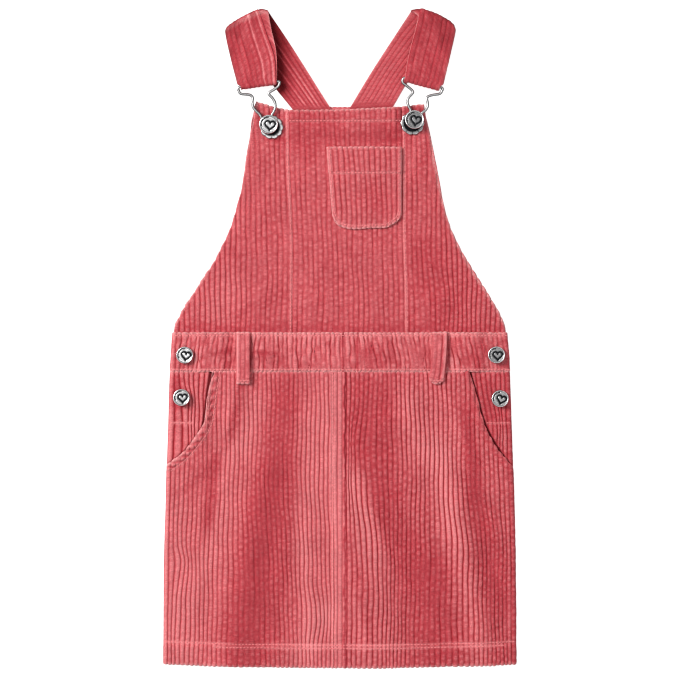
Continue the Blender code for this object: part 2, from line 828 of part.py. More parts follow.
def strap_path(strap, frame, wale):
    """Middle line of a strap column: rows of (point, normal, thickness, ribs along it, ribs opposite)."""
    back_outer = frame.rail(strap.back_outer)
    back_inner = frame.rail(strap.back_inner)
    front_outer = frame.rail(strap.front_outer)
    front_inner = frame.rail(strap.front_inner)
    strip_at = smooth_curve(strap.strip)
    level_at = smooth_curve(
        ((0.0, STRAP_BASE_Z), (strap.clear_y, STRAP_BASE_Z), (236.0, STRAP_LOW_Z), (400.0, STRAP_LOW_Z))
    )
    even = strap_across(wale, STRAP_WALES / (STRAP_WALES + 1))
    at_fold = strap_across(wale, strap.fold_edge)
    out = STRAP_THICK / 2 + STRAP_RIB
    recess = out - smooth_curve(strap.bow)(at_fold)
    bar_start = Vector(strap.end_outer)
    bar_end = Vector(strap.end_inner)
    bar_along = (bar_end - bar_start).normalized()
    beyond = Vector((bar_along.y, -bar_along.x)) * -strap.side
    wrap_r = WIRE_R + LAYER_GAP + STRAP_THICK / 2
    bar_start = bar_start - beyond * (wrap_r + out)

    tuck = WRAP_TUCK / (bar_end - bar_start).length

    def front_point(share, depth):
        across = strap_across(wale, strip_at(share))
        tucked = mix(across, mix(tuck, 1.0, across), ease(0.93, 1.0, share))
        return frame.point(front_outer, front_inner, tucked, depth)

    def past_bar(depth):
        return (front_point(1.0, depth) - bar_start).dot(beyond)

    def depth_at(y):
        return solve(lambda depth: frame.point(back_outer, back_inner, even, depth).y - y, recess, 130.0)

    start = recess + STRAP_BEND_R
    bar = solve(past_bar, start, 90.0)
    depths = [depth_at(y) for y in (STRAP_BASE_Y, strap.clear_y, strap.clear_y + STRAP_RIB_GROWTH)]
    depths += [mix(depths[-1], start, i / STRAP_BACK_ROWS) for i in range(1, STRAP_BACK_ROWS)]
    rows = []
    for depth in depths:
        across = mix(even, at_fold, 1.0 - ease(start, start + 30.0, depth))
        plan = frame.point(back_outer, back_inner, across, depth)
        up = ease(strap.clear_y, strap.clear_y + STRAP_RIB_GROWTH, plan.y)
        thick = mix(STRAP_BASE_THICK, STRAP_THICK, up)
        rows.append((plan.to_3d() + UP * level_at(plan.y), UP, thick, up, 0.0))
    for i in range(STRAP_TURN_ROWS + 1):
        turn = math.pi * i / STRAP_TURN_ROWS
        depth = recess + STRAP_BEND_R * (1.0 - math.sin(turn))
        height = STRAP_LOW_Z + STRAP_BEND_R * (1.0 - math.cos(turn))
        normal = (frame.inward * math.sin(turn)).to_3d() + UP * math.cos(turn)
        fade_out = 1.0 - ease(0.0, 0.3 * math.pi, turn)
        fade_in = ease(0.2 * math.pi, 0.7 * math.pi, turn)
        over = ease(0.5 * math.pi, math.pi, turn)
        plan = frame.point(back_outer, back_inner, at_fold, depth).lerp(front_point(0.0, depth), over)
        rows.append((plan.to_3d() + UP * height, normal, STRAP_THICK, fade_out, fade_in))
    low = STRAP_LOW_Z + 2 * STRAP_BEND_R
    for share in STRAP_FRONT_ROWS:
        height = mix(low, STRAP_BAR_Z, ease(0.0, 1.0, share))
        plan = front_point(share, mix(start, bar, share))
        rows.append((plan.to_3d() + UP * height, -UP, STRAP_THICK, 0.0, 1.0))
    for i in range(STRAP_TURN_ROWS + 1):
        turn = math.pi * i / STRAP_TURN_ROWS
        height = STRAP_BAR_Z - wrap_r * (1.0 - math.cos(turn))
        normal = (beyond * -math.sin(turn)).to_3d() - UP * math.cos(turn)
        fade = 1.0 - ease(0.5 * math.pi, 0.9 * math.pi, turn)
        plan = front_point(1.0, bar) + beyond * wrap_r * math.sin(turn)
        rows.append((plan.to_3d() + UP * height, normal, STRAP_THICK, 0.0, fade))
    for i in range(1, STRAP_RETURN_ROWS + 1):
        plan = front_point(1.0, bar - STRAP_RETURN * i / STRAP_RETURN_ROWS)
        rows.append((plan.to_3d() + UP * (STRAP_BAR_Z - 2 * wrap_r), UP, STRAP_THICK, 0.0, 0.0))
    return rows


def make_strap(name, strap):
    frame = FoldFrame(strap)
    bm = bmesh.new()
    uppers = []
    lowers = []
    for wale, crest, in_strip in strap_columns(strap):
        upper = []
        lower = []
        for middle, normal, thick, rib_up, rib_down in strap_path(strap, frame, wale):
            low = STRIP_DROP * rib_down if in_strip else 0.0
            upper.append(bm.verts.new((middle + normal * (thick / 2 + STRAP_RIB * crest * rib_up)) * MM))
            down = thick / 2 + STRAP_RIB * crest * rib_down - low
            lower.append(bm.verts.new((middle - normal * down) * MM))
        uppers.append(upper)
        lowers.append(lower)
    skin(bm, uppers)
    skin(bm, [list(reversed(column)) for column in lowers])
    close_side(bm, uppers[0], lowers[0])
    close_side(bm, lowers[-1], uppers[-1])
    for row in (0, -1):
        for i in range(len(uppers) - 1):
            corners = (uppers[i][row], uppers[i + 1][row], lowers[i + 1][row], lowers[i][row])
            bm.faces.new(corners)
    return mesh_object(name, bm)


# Metal


def smooth_loop(points, count):
    """Count points spaced evenly along a closed smooth curve through the given points."""
    total = len(points)
    fine = []
    for i in range(total):
        a, b, c, d = (points[(i + k) % total] for k in (-1, 0, 1, 2))
        for step in range(12):
            t = step / 12
            bend = a * (-t + 2 * t**2 - t**3) + b * (2 - 5 * t**2 + 3 * t**3)
            fine.append((bend + c * (t + 4 * t**2 - 3 * t**3) + d * (t**3 - t**2)) / 2)
    lengths = [0.0]
    for a, b in zip(fine, fine[1:] + fine[:1]):
        lengths.append(lengths[-1] + (b - a).length)
    spaced = []
    index = 0
    for i in range(count):
        goal = lengths[-1] * i / count
        while lengths[index + 1] < goal:
            index += 1
        share = (goal - lengths[index]) / (lengths[index + 1] - lengths[index])
        spaced.append(fine[index].lerp(fine[(index + 1) % len(fine)], share))
    return spaced


def make_buckle(which):
    """A closed wire: the bar inside the strap's end, two legs, and a keyhole round the button's neck."""
    strap = STRAPS[which]
    start = Vector(strap.end_outer)
    end = Vector(strap.end_inner)
    along = (end - start).normalized()
    beyond = Vector((along.y, -along.x)) * -strap.side
    back = WIRE_R + LAYER_GAP + STRAP_THICK + STRAP_RIB
    bar = [
        (start - beyond * back - along * BAR_OVERHANG_OUTER).to_3d(),
        start.lerp(end, 0.33).to_3d() - (beyond * back).to_3d(),
        start.lerp(end, 0.67).to_3d() - (beyond * back).to_3d(),
        (end - beyond * back + along * BAR_OVERHANG_INNER).to_3d(),
    ]
    for point in bar:
        point.z = BAR_Z
    legs = BUCKLE_LEGS[which]
    centre = Vector((BIB_CAP[which][0], BIB_CAP[which][1] + KEYHOLE_RISE, WIRE_Z))
    keyhole = []
    for i in range(KEYHOLE_STEPS + 1):
        turn = math.radians(mix(KEYHOLE_FROM, KEYHOLE_TO, i / KEYHOLE_STEPS))
        offset = Vector((-strap.side * math.cos(turn), math.sin(turn), 0.0))
        keyhole.append(centre + offset * KEYHOLE_R)
    outer = [Vector(point) for point in legs["outer"]]
    inner = [Vector(point) for point in legs["inner"]]
    loop = list(reversed(bar)) + outer + keyhole + list(reversed(inner))
    points = smooth_loop(loop, WIRE_POINTS)
    curve = bpy.data.curves.new(f"buckle_{which}", "CURVE")
    curve.dimensions = "3D"
    curve.bevel_depth = WIRE_R * MM
    curve.bevel_resolution = 2
    spline = curve.splines.new("POLY")
    spline.points.add(len(points) - 1)
    for spot, point in zip(spline.points, points):
        spot.co = (*(point * MM), 1.0)
    spline.use_cyclic_u = True
    wire = bpy.data.objects.new(f"buckle_{which}", curve)
    PARTS.objects.link(wire)
    return wire


def turned(name, place, profile):
    """A solid of revolution about +Z. The profile runs (radius, height) down its outside."""
    bm = bmesh.new()
    points = [bm.verts.new((radius * MM, 0.0, height * MM)) for radius, height in profile]
    for a, b in zip(points, points[1:]):
        bm.edges.new((a, b))
    mesh = bpy.data.meshes.new(name)
    bm.to_mesh(mesh)
    bm.free()
    part = bpy.data.objects.new(name, mesh)
    part.location = Vector(place) * MM
    PARTS.objects.link(part)
    screw = part.modifiers.new("turn", "SCREW")
    screw.steps = BUTTON_SIDES
    screw.render_steps = BUTTON_SIDES
    screw.use_merge_vertices = True
    screw.merge_threshold = 0.00001
    return part


def button_profile(radius, neck_r, neck):
    """A cap with a raised rim, on a neck that ends at height 0."""
    cap = [(share * radius, neck + height) for share, height in CAP_PROFILE]
    return cap + [(neck_r, neck), (neck_r, 0.0), (0.0, 0.0)]


def make_bib_button(which):
    foot = BASE_Z + BASE_THICK + LAYER_GAP
    x, y = BIB_CAP[which]
    profile = button_profile(BIB_CAP_R, NECK_R, BIB_CAP_Z - foot)
    return turned(f"bib_button_{which}", (x, y, foot), profile)


def make_button_base(which):
    """A flat washer with a scalloped rim under the cap."""
    count = BASE_PETALS * BASE_POINTS_PER_PETAL
    curve = bpy.data.curves.new(f"button_base_{which}", "CURVE")
    curve.dimensions = "2D"
    curve.fill_mode = "BOTH"
    curve.extrude = BASE_THICK / 2 * MM
    spline = curve.splines.new("POLY")
    spline.points.add(count - 1)
    for i, spot in enumerate(spline.points):
        turn = 2 * math.pi * i / count
        radius = BASE_R + BASE_SCALLOP * abs(math.cos(BASE_PETALS * turn / 2))
        spot.co = (radius * math.cos(turn) * MM, radius * math.sin(turn) * MM, 0.0, 1.0)
    spline.use_cyclic_u = True
    base = bpy.data.objects.new(f"button_base_{which}", curve)
    x, y = BIB_BASE[which]
    base.location = Vector((x, y, BASE_Z + BASE_THICK / 2)) * MM
    PARTS.objects.link(base)
    return base


def finish(part, colour, roughness, metallic):
    """Smooth round faces, and the part's own plain material."""
    if part.type == "MESH":
        part.data.shade_smooth()
        part.data.set_sharp_from_angle(angle=SMOOTH_ANGLE)
    material = bpy.data.materials.new(f"{part.name}_finish")
    material.use_nodes = True
    shader = material.node_tree.nodes["Principled BSDF"]
    shader.inputs["Base Color"].default_value = colour
    shader.inputs["Roughness"].default_value = roughness
    shader.inputs["Metallic"].default_value = metallic
    part.data.materials.append(material)


def clear_scene():
    for old in list(bpy.data.objects):
        bpy.data.objects.remove(old)


def make_metal():
    for which in ("left", "right"):
        make_button_base(which)
        make_bib_button(which)
        make_buckle(which)
    for name, (x, y, foot) in SIDE_BUTTONS.items():
        turned(name, (x, y, foot), button_profile(SIDE_CAP_R, SIDE_NECK_R, SIDE_NECK))


def make_dress():
    make_back()
    make_bib()
    make_chest_pocket()
    make_waistband()
    make_skirt_front()
    make_pocket_facings()
    make_belt_loops()
    for which, strap in STRAPS.items():
        make_strap(f"strap_{which}", strap)
    make_metal()
    for part in PARTS.objects:
        if "button" in part.name or "buckle" in part.name:
            finish(part, METAL_COLOUR, 0.35, 1.0)
        elif part.name.endswith("_back"):
            finish(part, INSIDE_COLOUR, 0.9, 0.0)
        else:
            finish(part, CLOTH_COLOUR, 0.9, 0.0)


clear_scene()
PARTS = bpy.data.collections.new("Pinafore dress")
bpy.context.scene.collection.children.link(PARTS)
make_dress()
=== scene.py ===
"""Child's corduroy pinafore dress, laid flat and front up, with both straps folded over and buckled.

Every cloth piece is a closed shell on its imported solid, with a wale every few millimetres. Tables are
in millimetres, with the origin and axes of the solids; MM turns them into Blender's metres.
"""
import math
from collections import namedtuple

import bpy
import numpy as np
from bpy.props import FloatProperty, FloatVectorProperty, IntProperty, PointerProperty
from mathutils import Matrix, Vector


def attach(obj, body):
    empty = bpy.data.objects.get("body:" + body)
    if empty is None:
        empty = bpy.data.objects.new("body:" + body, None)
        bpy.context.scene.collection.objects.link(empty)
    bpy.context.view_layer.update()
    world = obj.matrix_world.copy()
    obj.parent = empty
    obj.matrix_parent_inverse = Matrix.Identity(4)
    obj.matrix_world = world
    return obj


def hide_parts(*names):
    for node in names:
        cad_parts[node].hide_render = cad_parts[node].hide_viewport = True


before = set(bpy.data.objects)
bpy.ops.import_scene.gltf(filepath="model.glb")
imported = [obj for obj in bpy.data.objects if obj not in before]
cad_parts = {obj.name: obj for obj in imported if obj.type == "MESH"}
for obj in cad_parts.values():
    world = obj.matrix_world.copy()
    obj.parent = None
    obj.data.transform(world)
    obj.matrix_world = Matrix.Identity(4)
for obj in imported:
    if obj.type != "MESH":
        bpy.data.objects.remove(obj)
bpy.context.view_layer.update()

bl_info = {
    "name": "Corduroy Pinafore Dress",
    "version": (1, 0, 0),
    "blender": (4, 5, 0),
    "location": "3D View > Sidebar > Pinafore",
    "description": "Makes a child's corduroy pinafore dress round its packed solids",
    "category": "Object",
}

MM = 0.001

# Cloth
WALE_PITCH = 4.65
SKIRT_WALES = {-1: 39, 1: 37}
BAND_WALES = 72
POCKET_WALES = 14
RIB_CREST = 0.9
RIB_DEPTH = 1.15
WALL = 1.2
BACK_WALL = 1.9
BAND_WALL = 2.2
HEM_EXTRA = 0.9
LAYER_GAP = 0.3
SIDE_ROLL_WIDTH = 5.0
SIDE_ROLL = 0.9
# Points across one wale, from one valley to the next, as shares of the wale
WALE_SHARES = (0.0, 0.06, 0.16, 0.31, 0.5, 0.69, 0.84, 0.94)
ROW_STEP = 1.5
BACK_ROW_STEP = 4.0
# A free edge rolls over: rows at these distances in from it, and how far it drops
EDGE_ROWS = (0.0, 0.12, 0.45, 0.95, 1.7)
EDGE_R = 1.5
EDGE_DROP = 0.9
# Between the wales a cut end falls away this much earlier
NOTCH = 0.8
SEAM_DROP = 0.45
# Sewing pulls the pile down to this share beside a stitch row, over this width
PRESSED = 0.45
PRESS_WIDTH = 0.9
PRESS_DIP = 0.1
THREAD_SEAT = 0.2
# The pile is paler this close to an edge: wear, and a painted highlight where the edge rolls over
PALE_EDGE_WIDTH = 0.9
# Painted light and shade from the slope: a slope that rises this way in plan faces the light from the upper
# left and is painted lighter, one that falls this way darker, by this gain
LIGHT_FACING_WAY = (0.85, -0.5)
SLOPE_SHADE_GAIN = 0.8
# The slope that the painted light and shade follow is taken over this step each way
SLOPE_STEP = 1.5
# How much clearer the wales show where the painted light is bright, and how much where it is dark
CLEAR_GAIN = 1.7
SHADED_CLEAR_GAIN = 0.6

# Outline
WAIST_TOP = 4.2
WAIST_BOTTOM = -31.0
FRONT_SEAM_X = 2.25
HEM_Y = -303.65
HEM_RISE = 3.5
HEM_DEPTH = 20.6
# The seam's cloth, folded to the left under the middle seam of the skirt
FRONT_STRIP = 8.6
FRONT_STRIP_EXTRA = 0.45
# The flattened pale strip beside the seam: its middle and half its width
STRIP_X = 0.6
STRIP_HALF = 3.2
# The folded edge of the middle seam lies this far right, and a dark line of painted shade runs along it
SEAM_EDGE_X = 4.7
BIB_HEM_Y = 199.3
BIB_CORNER_LEFT = -76.5
BIB_CORNER_RIGHT = 77.6
BIB_TIP_X = 152.4
BACK_INSET = 1.5

# Half width of the skirt and waistband against height: (y, half width)
SIDE = (
    (-304, 162.5), (-212, 161.9), (-148, 160.2), (-80, 158), (-37, 156.7), (4.2, 154),
)
# Armhole: (distance from the middle, y)
ARMHOLE = (
    (76.5, 217), (83.1, 184), (87.5, 157), (92.7, 132), (102.2, 100), (112.5, 77), (125.4, 55),
    (138, 36), (147, 21), (151.8, 10), (154.2, 2),
)
# Seams between the middle and sides of the bib: (y, x)
PRINCESS_LEFT = (
    (4.5, -43.4), (55, -42.9), (86, -42.7), (130, -44.5), (170, -46.2), (210, -46.4),
)
PRINCESS_RIGHT = (
    (4.5, 59.5), (47, 59.3), (64, 58.5), (97, 57.6), (174, 57.4), (212, 56.5),
)
# Top of the bib: (x, y)
BIB_TOP = (
    (-77, 216.9), (-60, 211.9), (-44, 208.8), (0, 209.3), (28, 210.6), (54, 212), (78, 214.7),
)
# Top of the back bib: (distance from the middle, y)
BACK_TOP = ((0.0, 212.0), (30.0, 212.0), (44.0, 206.5), (80.0, 206.5))
# Hip-pocket curves: (distance from the middle, y)
POCKET_CURVE = {
    -1: (
        (117.2, -31.3), (118.9, -41.8), (121.1, -55.2), (122.9, -70.8), (125.6, -79.7), (131.7, -89.8),
        (145.7, -106.5), (158.6, -116.5),
    ),
    1: (
        (118.8, -31.3), (120.6, -39.6), (123.9, -50.7), (127.7, -65.3), (132.8, -80.8), (143.9, -100.9),
        (152.9, -112), (158.8, -119.6),
    ),
}
POCKET_TUCK = 16.0
TUCK_DROP = 14.0
# Down to this height the hip pockets gape: the facing loses its ribs and is painted with the shade of the
# pocket's inside, this wide and this dark
SLIT_END_Y = {-1: -74.0, 1: -104.0}
SLIT_WIDTH = {-1: 2.5, 1: 2.0}
SLIT_SHADE = {-1: 0.95, 1: 0.9}
# The turned hip-pocket edge puffs up between the stitches: spacing of the puffs, height, end, painted light
# and shade on them, and ribs
PUFF_STEP = 8.0
PUFF = {-1: 1.7, 1: 0.3}
PUFF_END = 6.5
PUFF_TONE = {-1: (0.5, -0.26), 1: (0.1, -0.16)}
EDGE_RIB = {-1: 0.5, 1: 0.9}
SKIRT_RIB = {-1: 0.86, 1: 1.0}
# The right hip-pocket edge stays darker: the share of the pale edge, wear and painted highlight, on it, and
# from where to where that ends
EDGE_PALE_SHARE = 0.15
EDGE_PALE_ENDS = (3.0, 6.0)
BIB_RIBS = {"bib_centre": 0.82, "bib_side_left": 0.85, "bib_side_right": 0.9, "bib_pocket": 0.85}
# The band lifts over the pocket ends: from and back to the back's height between these distances
BAND_LIFT = 1.4
BAND_RISE = (99.0, 110.0)
BAND_FALL = (124.0, 136.0)
# The folds of the skirt flatten this close to the side seams
FOLD_SIDE = 14.0
# How far the skirt front stands off at the pocket edge: (distance in from the edge, lift)
POCKET_LIFT = ((0.0, 2.6), (8.0, 2.0), (22.0, 1.65), (32.0, 0.6), (42.0, 0.0))

# Soft folds that fan out down the skirt front
Fold = namedtuple("Fold", "top_x bottom_x top_y width height")
FOLDS = (Fold(-58, -104, -48, 19, 2.7), Fold(10, 38, -70, 24, 2.6), Fold(90, 137, -60, 15, 2.8))

# Stretches where the wales of a piece lean sideways: middle and reach across, heights between, and how far
Sway = namedtuple("Sway", "x reach y0 y1 shift")
SWAYS = {
    "skirt_front": (
        (-60, 42, -120, -260, 6), (-112, 18, -150, -240, -2.5), (-22, 14, -222, -250, 3.2),
        (-22, 14, -258, -284, -3.2), (-150, 12, -190, -206, 2.6), (-150, 12, -208, -246, -4),
        (20, 18, -45, -105, -5.5), (26, 22, -112, -205, 7), (70, 30, -120, -260, -2.5),
        (122, 24, -140, -205, 4.5),
    ),
    "pocket_facing": (
        (-149, 13, -36, -62, 6), (134, 13, -36, -92, 6), (156, 7, -40, -58, -2.6),
        (156, 7, -60, -84, 2.6),
    ),
    "waistband": (
        (44, 46, 4, -31, 4.4), (-120, 30, 4, -31, -2), (-150, 14, 4, -31, 2.2), (126, 24, 4, -31, 3.4),
    ),
    "bib": (
        (-60, 30, 70, 10, -1.4), (90, 18, 70, 20, 2.5),
    ),
}
SWAY_EASE = 16.0

# Small creases and ripples, as low ridges: where each starts and ends, its half width and its height
Crease = namedtuple("Crease", "x0 y0 x1 y1 width height")
CREASES = (
    # skirt, left
    (-120, -136, -131, -190, 7, 0.5), (-92, -96, -110, -146, 8, 0.7), (-98, -58, -104, -88, 4, 0.5),
    (-146, -232, -150, -282, 6, 0.5), (-127, -214, -138, -270, 7.5, 0.6),
    # skirt, middle
    (-10, -36, -8, -132, 5, 0.8), (-30, -176, -24, -292, 7, 0.9), (-46, -150, -58, -236, 6.5, 0.5),
    (14, -206, 26, -288, 6.5, 0.6), (30, -150, 44, -206, 7, 0.5),
    # skirt, right
    (62, -62, 84, -112, 9, 0.9), (70, -150, 92, -226, 7.5, 0.5), (110, -78, 122, -128, 5.5, 0.7),
    (138, -158, 150, -224, 6.5, 0.6), (104, -232, 118, -292, 7, 0.5),
    # waistband
    (-136, -14, -98, -10, 4, 0.5), (-80, -12, -46, -15, 4, 0.5), (12, -8, 78, -14, 5, 0.4),
    # bib
    (-66, 178, -30, 168, 6, 0.4), (-20, 190, 40, 186, 5, 0.3), (-100, 24, -62, 42, 9, 0.5),
    (-30, 26, -14, 84, 9, 0.4), (84, 22, 112, 52, 9, 0.5), (70, 150, 80, 190, 6, 0.4),
)
# Stretches of painted light and shade along the folds, creases, seams and edges, with half widths at both
# ends
LitStroke = namedtuple("LitStroke", "x0 y0 x1 y1 start_width end_width tone")
LIGHT_AND_SHADE_STROKES = (
    # skirt, left
    (-48, -36, -58, -140, 11, 19, -0.22), (-61, -130, -92, -300, 21, 30, -0.27),
    (-78, -50, -90, -110, 9, 9, 0.18), (-96, -96, -120, -205, 10, 12, 0.15),
    (-122, -200, -140, -300, 15, 16, 0.14), (-114, -112, -121, -176, 6, 6, -0.22),
    (-148, -120, -150, -300, 11, 12, 0.14), (-100, -36, -110, -110, 7, 7, 0.10),
    # skirt, middle
    (-3, -30, -4, -134, 7, 6, 0.18), (-4, -134, -4, -300, 5, 5, 0.12),
    (-24, -56, -32, -200, 15, 17, 0.16), (-12, -246, -34, -303, 12, 17, 0.22),
    (-26, -196, -22, -262, 12, 14, 0.14), (22, -38, 17, -118, 12, 12, -0.18),
    (44, -38, 36, -150, 10, 16, -0.16), (8, -180, 20, -250, 6, 6, -0.10),
    # skirt, right
    (12, -120, 36, -215, 10, 13, 0.22), (36, -215, 46, -300, 12, 14, 0.12),
    (40, -140, 82, -225, 17, 19, -0.16), (80, -205, 98, -303, 20, 24, -0.22),
    (60, -45, 84, -118, 15, 20, 0.16), (90, -92, 112, -190, 15, 14, 0.18),
    (50, -150, 62, -178, 12, 12, 0.06), (116, -66, 126, -156, 5.5, 7, -0.30),
    (127, -150, 150, -250, 7, 9, -0.24), (112, -190, 134, -290, 10, 10, 0.10),
    # pocket facings
    (-151, -36, -150, -66, 5, 6, -0.32), (-146, -70, -130, -84, 6, 6, 0.1),
    (136, -44, 140, -78, 6, 8, -0.16), (152, -86, 156, -104, 6, 6, 0.16),
    # waistband
    (-154, 0.5, 154, 0.5, 4.5, 4.5, 0.12), (-50, -12, 20, -12, 14, 14, 0.08),
    (-80, -13.4, -58, -14.4, 2.2, 1.6, -0.35), (-108, -12.6, -97, -13.2, 2.4, 2, -0.3),
    (26, -6, 34, -28, 9, 9, -0.12), (58, 0, 72, -30, 6, 6, -0.1), (104, -4, 122, -26, 8, 8, -0.14),
    # bib
    (-150, 7, 150, 7, 4.5, 4.5, -0.20), (-52, 204, 0, 190, 12, 12, -0.12),
    (-64, 186, -20, 172, 9, 9, -0.10), (30, 190, 60, 182, 9, 9, -0.20), (58, 206, 76, 208, 6, 6, -0.30),
    (24, 140, 44, 112, 12, 12, -0.10), (-96, 60, -120, 16, 14, 20, 0.10),
    (-90, 160, -100, 96, 8, 8, 0.10), (76, 90, 100, 16, 18, 22, -0.10),
)
STROKE_FADE = 0.2

# Chest pocket
POCKET_LEFT_X = -12.1
POCKET_RIGHT_X = 57.0
POCKET_TOP_Y = 175.0
POCKET_HEM_Y = 151.3
POCKET_LEAN = 4.8
POCKET_LEAN_DEPTH = 61.0
# Lower edge of the chest pocket: (x at the top, y)
POCKET_FOOT = (
    (-12.1, 113.7), (-8, 105.4), (-3, 102.2), (9, 99.9), (26, 100.8), (40, 101.2), (46, 103.4),
    (52, 106.6), (55.5, 110.6), (57, 114.6),
)

# Belt loops: edges, how far the foot leans, its rounding, and where a wale carries a painted highlight
Loop = namedtuple("Loop", "name left right lean round bright")
LOOPS = (
    Loop("belt_loop_left", -95.0, -82.7, 0.0, 0.0, -94.0),
    Loop("belt_loop_right", 85.4, 98.8, -3.6, 4.0, 97.8),
)
LOOP_TOP_Y = 4.8
LOOP_BOTTOM_Y = -42.4
LOOP_WALL = 1.8
LOOP_SEAT_TOP = 5.7
LOOP_SEAT_BOTTOM = 6.3
LOOP_ARCH = 1.6
LOOP_WALES = 3
LOOP_RIB = 0.6
# The right loop's wales stand clearer between these places
LOOP_EDGE_RIB = 0.9
LOOP_EDGE_X = (91.0, 93.5)

# Straps: outer means away from the middle of the dress. All points are (x, y).
STRAP_THICK = 2.0
STRAP_BASE_THICK = 1.2
STRAP_RIB = 0.7
STRAP_BASE_Y = 199.0
STRAP_BASE_Z = BACK_WALL + LAYER_GAP + STRAP_BASE_THICK / 2
STRAP_LOW_Z = 1.0
STRAP_RAMP_Y = 178.0
STRAP_FULL_Y = 194.0
STRAP_LIFT_LEFT = (-54.0, -44.5)
STRAP_LIFT_RIGHT = (50.0, 57.0)
STRAP_BEND_R = 2.7
STRAP_BAR_Z = 8.7
STRAP_RETURN = 20.0
STRAP_WALES = 8
STRAP_CLEAR = 0.5
STRAP_FRONT_CLEAR = 0.15
STRAP_FRONT_RIB = 0.85
STRAP_BACK_RIB = {"left": 0.95, "right": 0.6}
# Wales that carry a painted highlight as pale ridges: on the left strap's front, and on the back parts
STRAP_RIDGES = (5.5, 7.45)
STRAP_BACK_RIDGES = {"left": (3.5, 5.5, 6.5), "right": ()}
STRAP_RIB_GROWTH = 6.0
# The back part is painted with shade, as of the front part's shadow, this dark beside the front part, over
# this width
STRAP_SHADE = {"left": 0.85, "right": 0.12}
STRAP_SHADE_WIDTH = 16.0
# The left strap's fold carries a painted highlight between these heights
FOLD_HIGHLIGHT_FROM = (5.7, 6.2)
FOLD_HIGHLIGHT_TO = (6.4, 6.42)
# Rows round a fold or a bar
TURN_ROWS = 15
# Above this height a strap is at its fold
STRAP_TOP_Y = 270.0
STRIP_DROP = 0.9
WRAP_TUCK = 2.4
WIRE_R = 1.0
Strap = namedtuple(
    "Strap",
    "side clear_y fold_outer fold_inner back_outer back_inner front_outer front_inner end_outer end_inner"
    " fold_edge strip bow",
)
# fold_edge: share of the width where the narrow inner strip starts, at the fold
# strip: the same share on the front, against the share of its length
# bow: how far the fold reaches out past the line between its ends, against the share of the width
STRAPS = {
    "left": Strap(
        side=-1,
        clear_y=209.8,
        fold_outer=(-104.7, 286.8),
        fold_inner=(-67.5, 303.4),
        back_outer=((-35, 199), (-43.8, 210.3), (-57.3, 227), (-104.7, 286)),
        back_inner=((-1, 199), (-9.2, 212.3), (-47, 272.3), (-65.9, 300.5)),
        front_outer=((-105.3, 285.2), (-105.5, 281), (-100.2, 255.8), (-93.6, 229.5), (-92.9, 225)),
        front_inner=((-66, 301), (-63, 284.2), (-58.7, 265.1), (-57.8, 251.4), (-57.8, 232)),
        end_outer=(-92.9, 225.9),
        end_inner=(-57.8, 231),
        fold_edge=0.80,
        strip=((0, 0.80), (0.3, 0.865), (0.55, 0.91), (0.75, 0.955), (1, 0.97)),
        bow=((0, 0), (0.1, 1.2), (0.25, 2.2), (0.45, 3.1), (0.7, 3.4), (0.87, 3), (1, -0.9)),
    ),
    "right": Strap(
        side=1,
        clear_y=212.4,
        fold_outer=(106, 287.3),
        fold_inner=(66, 306.3),
        back_outer=((38.5, 199), (49.2, 212.8), (59.6, 230.7), (105.8, 286)),
        back_inner=((1.6, 199), (9.6, 212), (26.6, 240.5), (65, 299.5)),
        front_outer=((106.5, 285), (106.2, 281.5), (101.3, 259), (94, 228), (93.5, 224.5)),
        front_inner=((72.9, 301), (71.8, 293.5), (69.4, 283), (63.2, 259), (59.3, 235.5)),
        end_outer=(93.5, 225.4),
        end_inner=(60.5, 234.2),
        fold_edge=0.83,
        strip=((0, 0.97), (1, 0.975)),
        bow=((0, -0.7), (0.06, 1), (0.2, 2.6), (0.45, 3.2), (0.65, 2.5), (0.8, 1.6), (1, -3)),
    ),
}

# Wire buckles: the legs' points from the bar down to the keyhole, (x, y, z)
NECK_R = 3.2
KEYHOLE_R = 5.2
KEYHOLE_RISE = 0.6
KEYHOLE_FROM = 165.0
KEYHOLE_TO = 375.0
KEYHOLE_STEPS = 10
BAR_Z = STRAP_BAR_Z - WIRE_R - LAYER_GAP - STRAP_THICK / 2
BAR_OVERHANG_OUTER = -0.9
BAR_OVERHANG_INNER = 2.0
WIRE_Z = 7.1
WIRE_POINTS = 260
BUCKLE_LEGS = {
    "left": {
        "outer": (
            (-92.7, 226.4, 6.4), (-90.6, 223.9, 6.4), (-83, 223, 6.5), (-80.2, 220.6, 6.6),
            (-80.4, 216, 6.8), (-79.6, 211.8, 7), (-77, 208, 7.1), (-73.5, 204.6, 7.1),
        ),
        "inner": (
            (-56.2, 231.6, 6.4), (-59.6, 228.4, 6.4), (-65.2, 224.4, 6.5), (-62.1, 220.2, 6.7),
            (-59.8, 216.3, 6.8), (-59.2, 212, 6.9), (-60.7, 207.4, 7.1), (-62.3, 204.2, 7.1),
        ),
    },
    "right": {
        "outer": (
            (93.5, 226.2, 6.4), (91.6, 223.9, 6.4), (85.6, 222.9, 6.4), (80.9, 221.4, 6.5),
            (80.1, 218.8, 6.7), (80.9, 213.6, 6.9), (79, 209.2, 7), (75.3, 206.2, 7.1),
        ),
        "inner": (
            (57.8, 234.4, 6.4), (62.3, 230.6, 6.4), (67.2, 225.6, 6.5), (63.7, 221, 6.7),
            (62.1, 217.4, 6.8), (63.1, 212.5, 7), (64.9, 208.4, 7.1),
        ),
    },
}

# Buttons
BIB_BASE = {"left": (-62.9, 193.4), "right": (66.7, 197.0)}
BIB_CAP_R = 8.7
BASE_R = 10.0
BASE_SCALLOP = 0.9
BASE_PETALS = 10
BASE_THICK = 1.2
BASE_Z = 4.6
BIB_CAP_FOOT = BASE_Z + BASE_THICK + LAYER_GAP
BIB_CAP_Z = 8.4
SIDE_CAP_R = 7.8
SIDE_NECK_R = 2.6
SIDE_NECK = 1.2
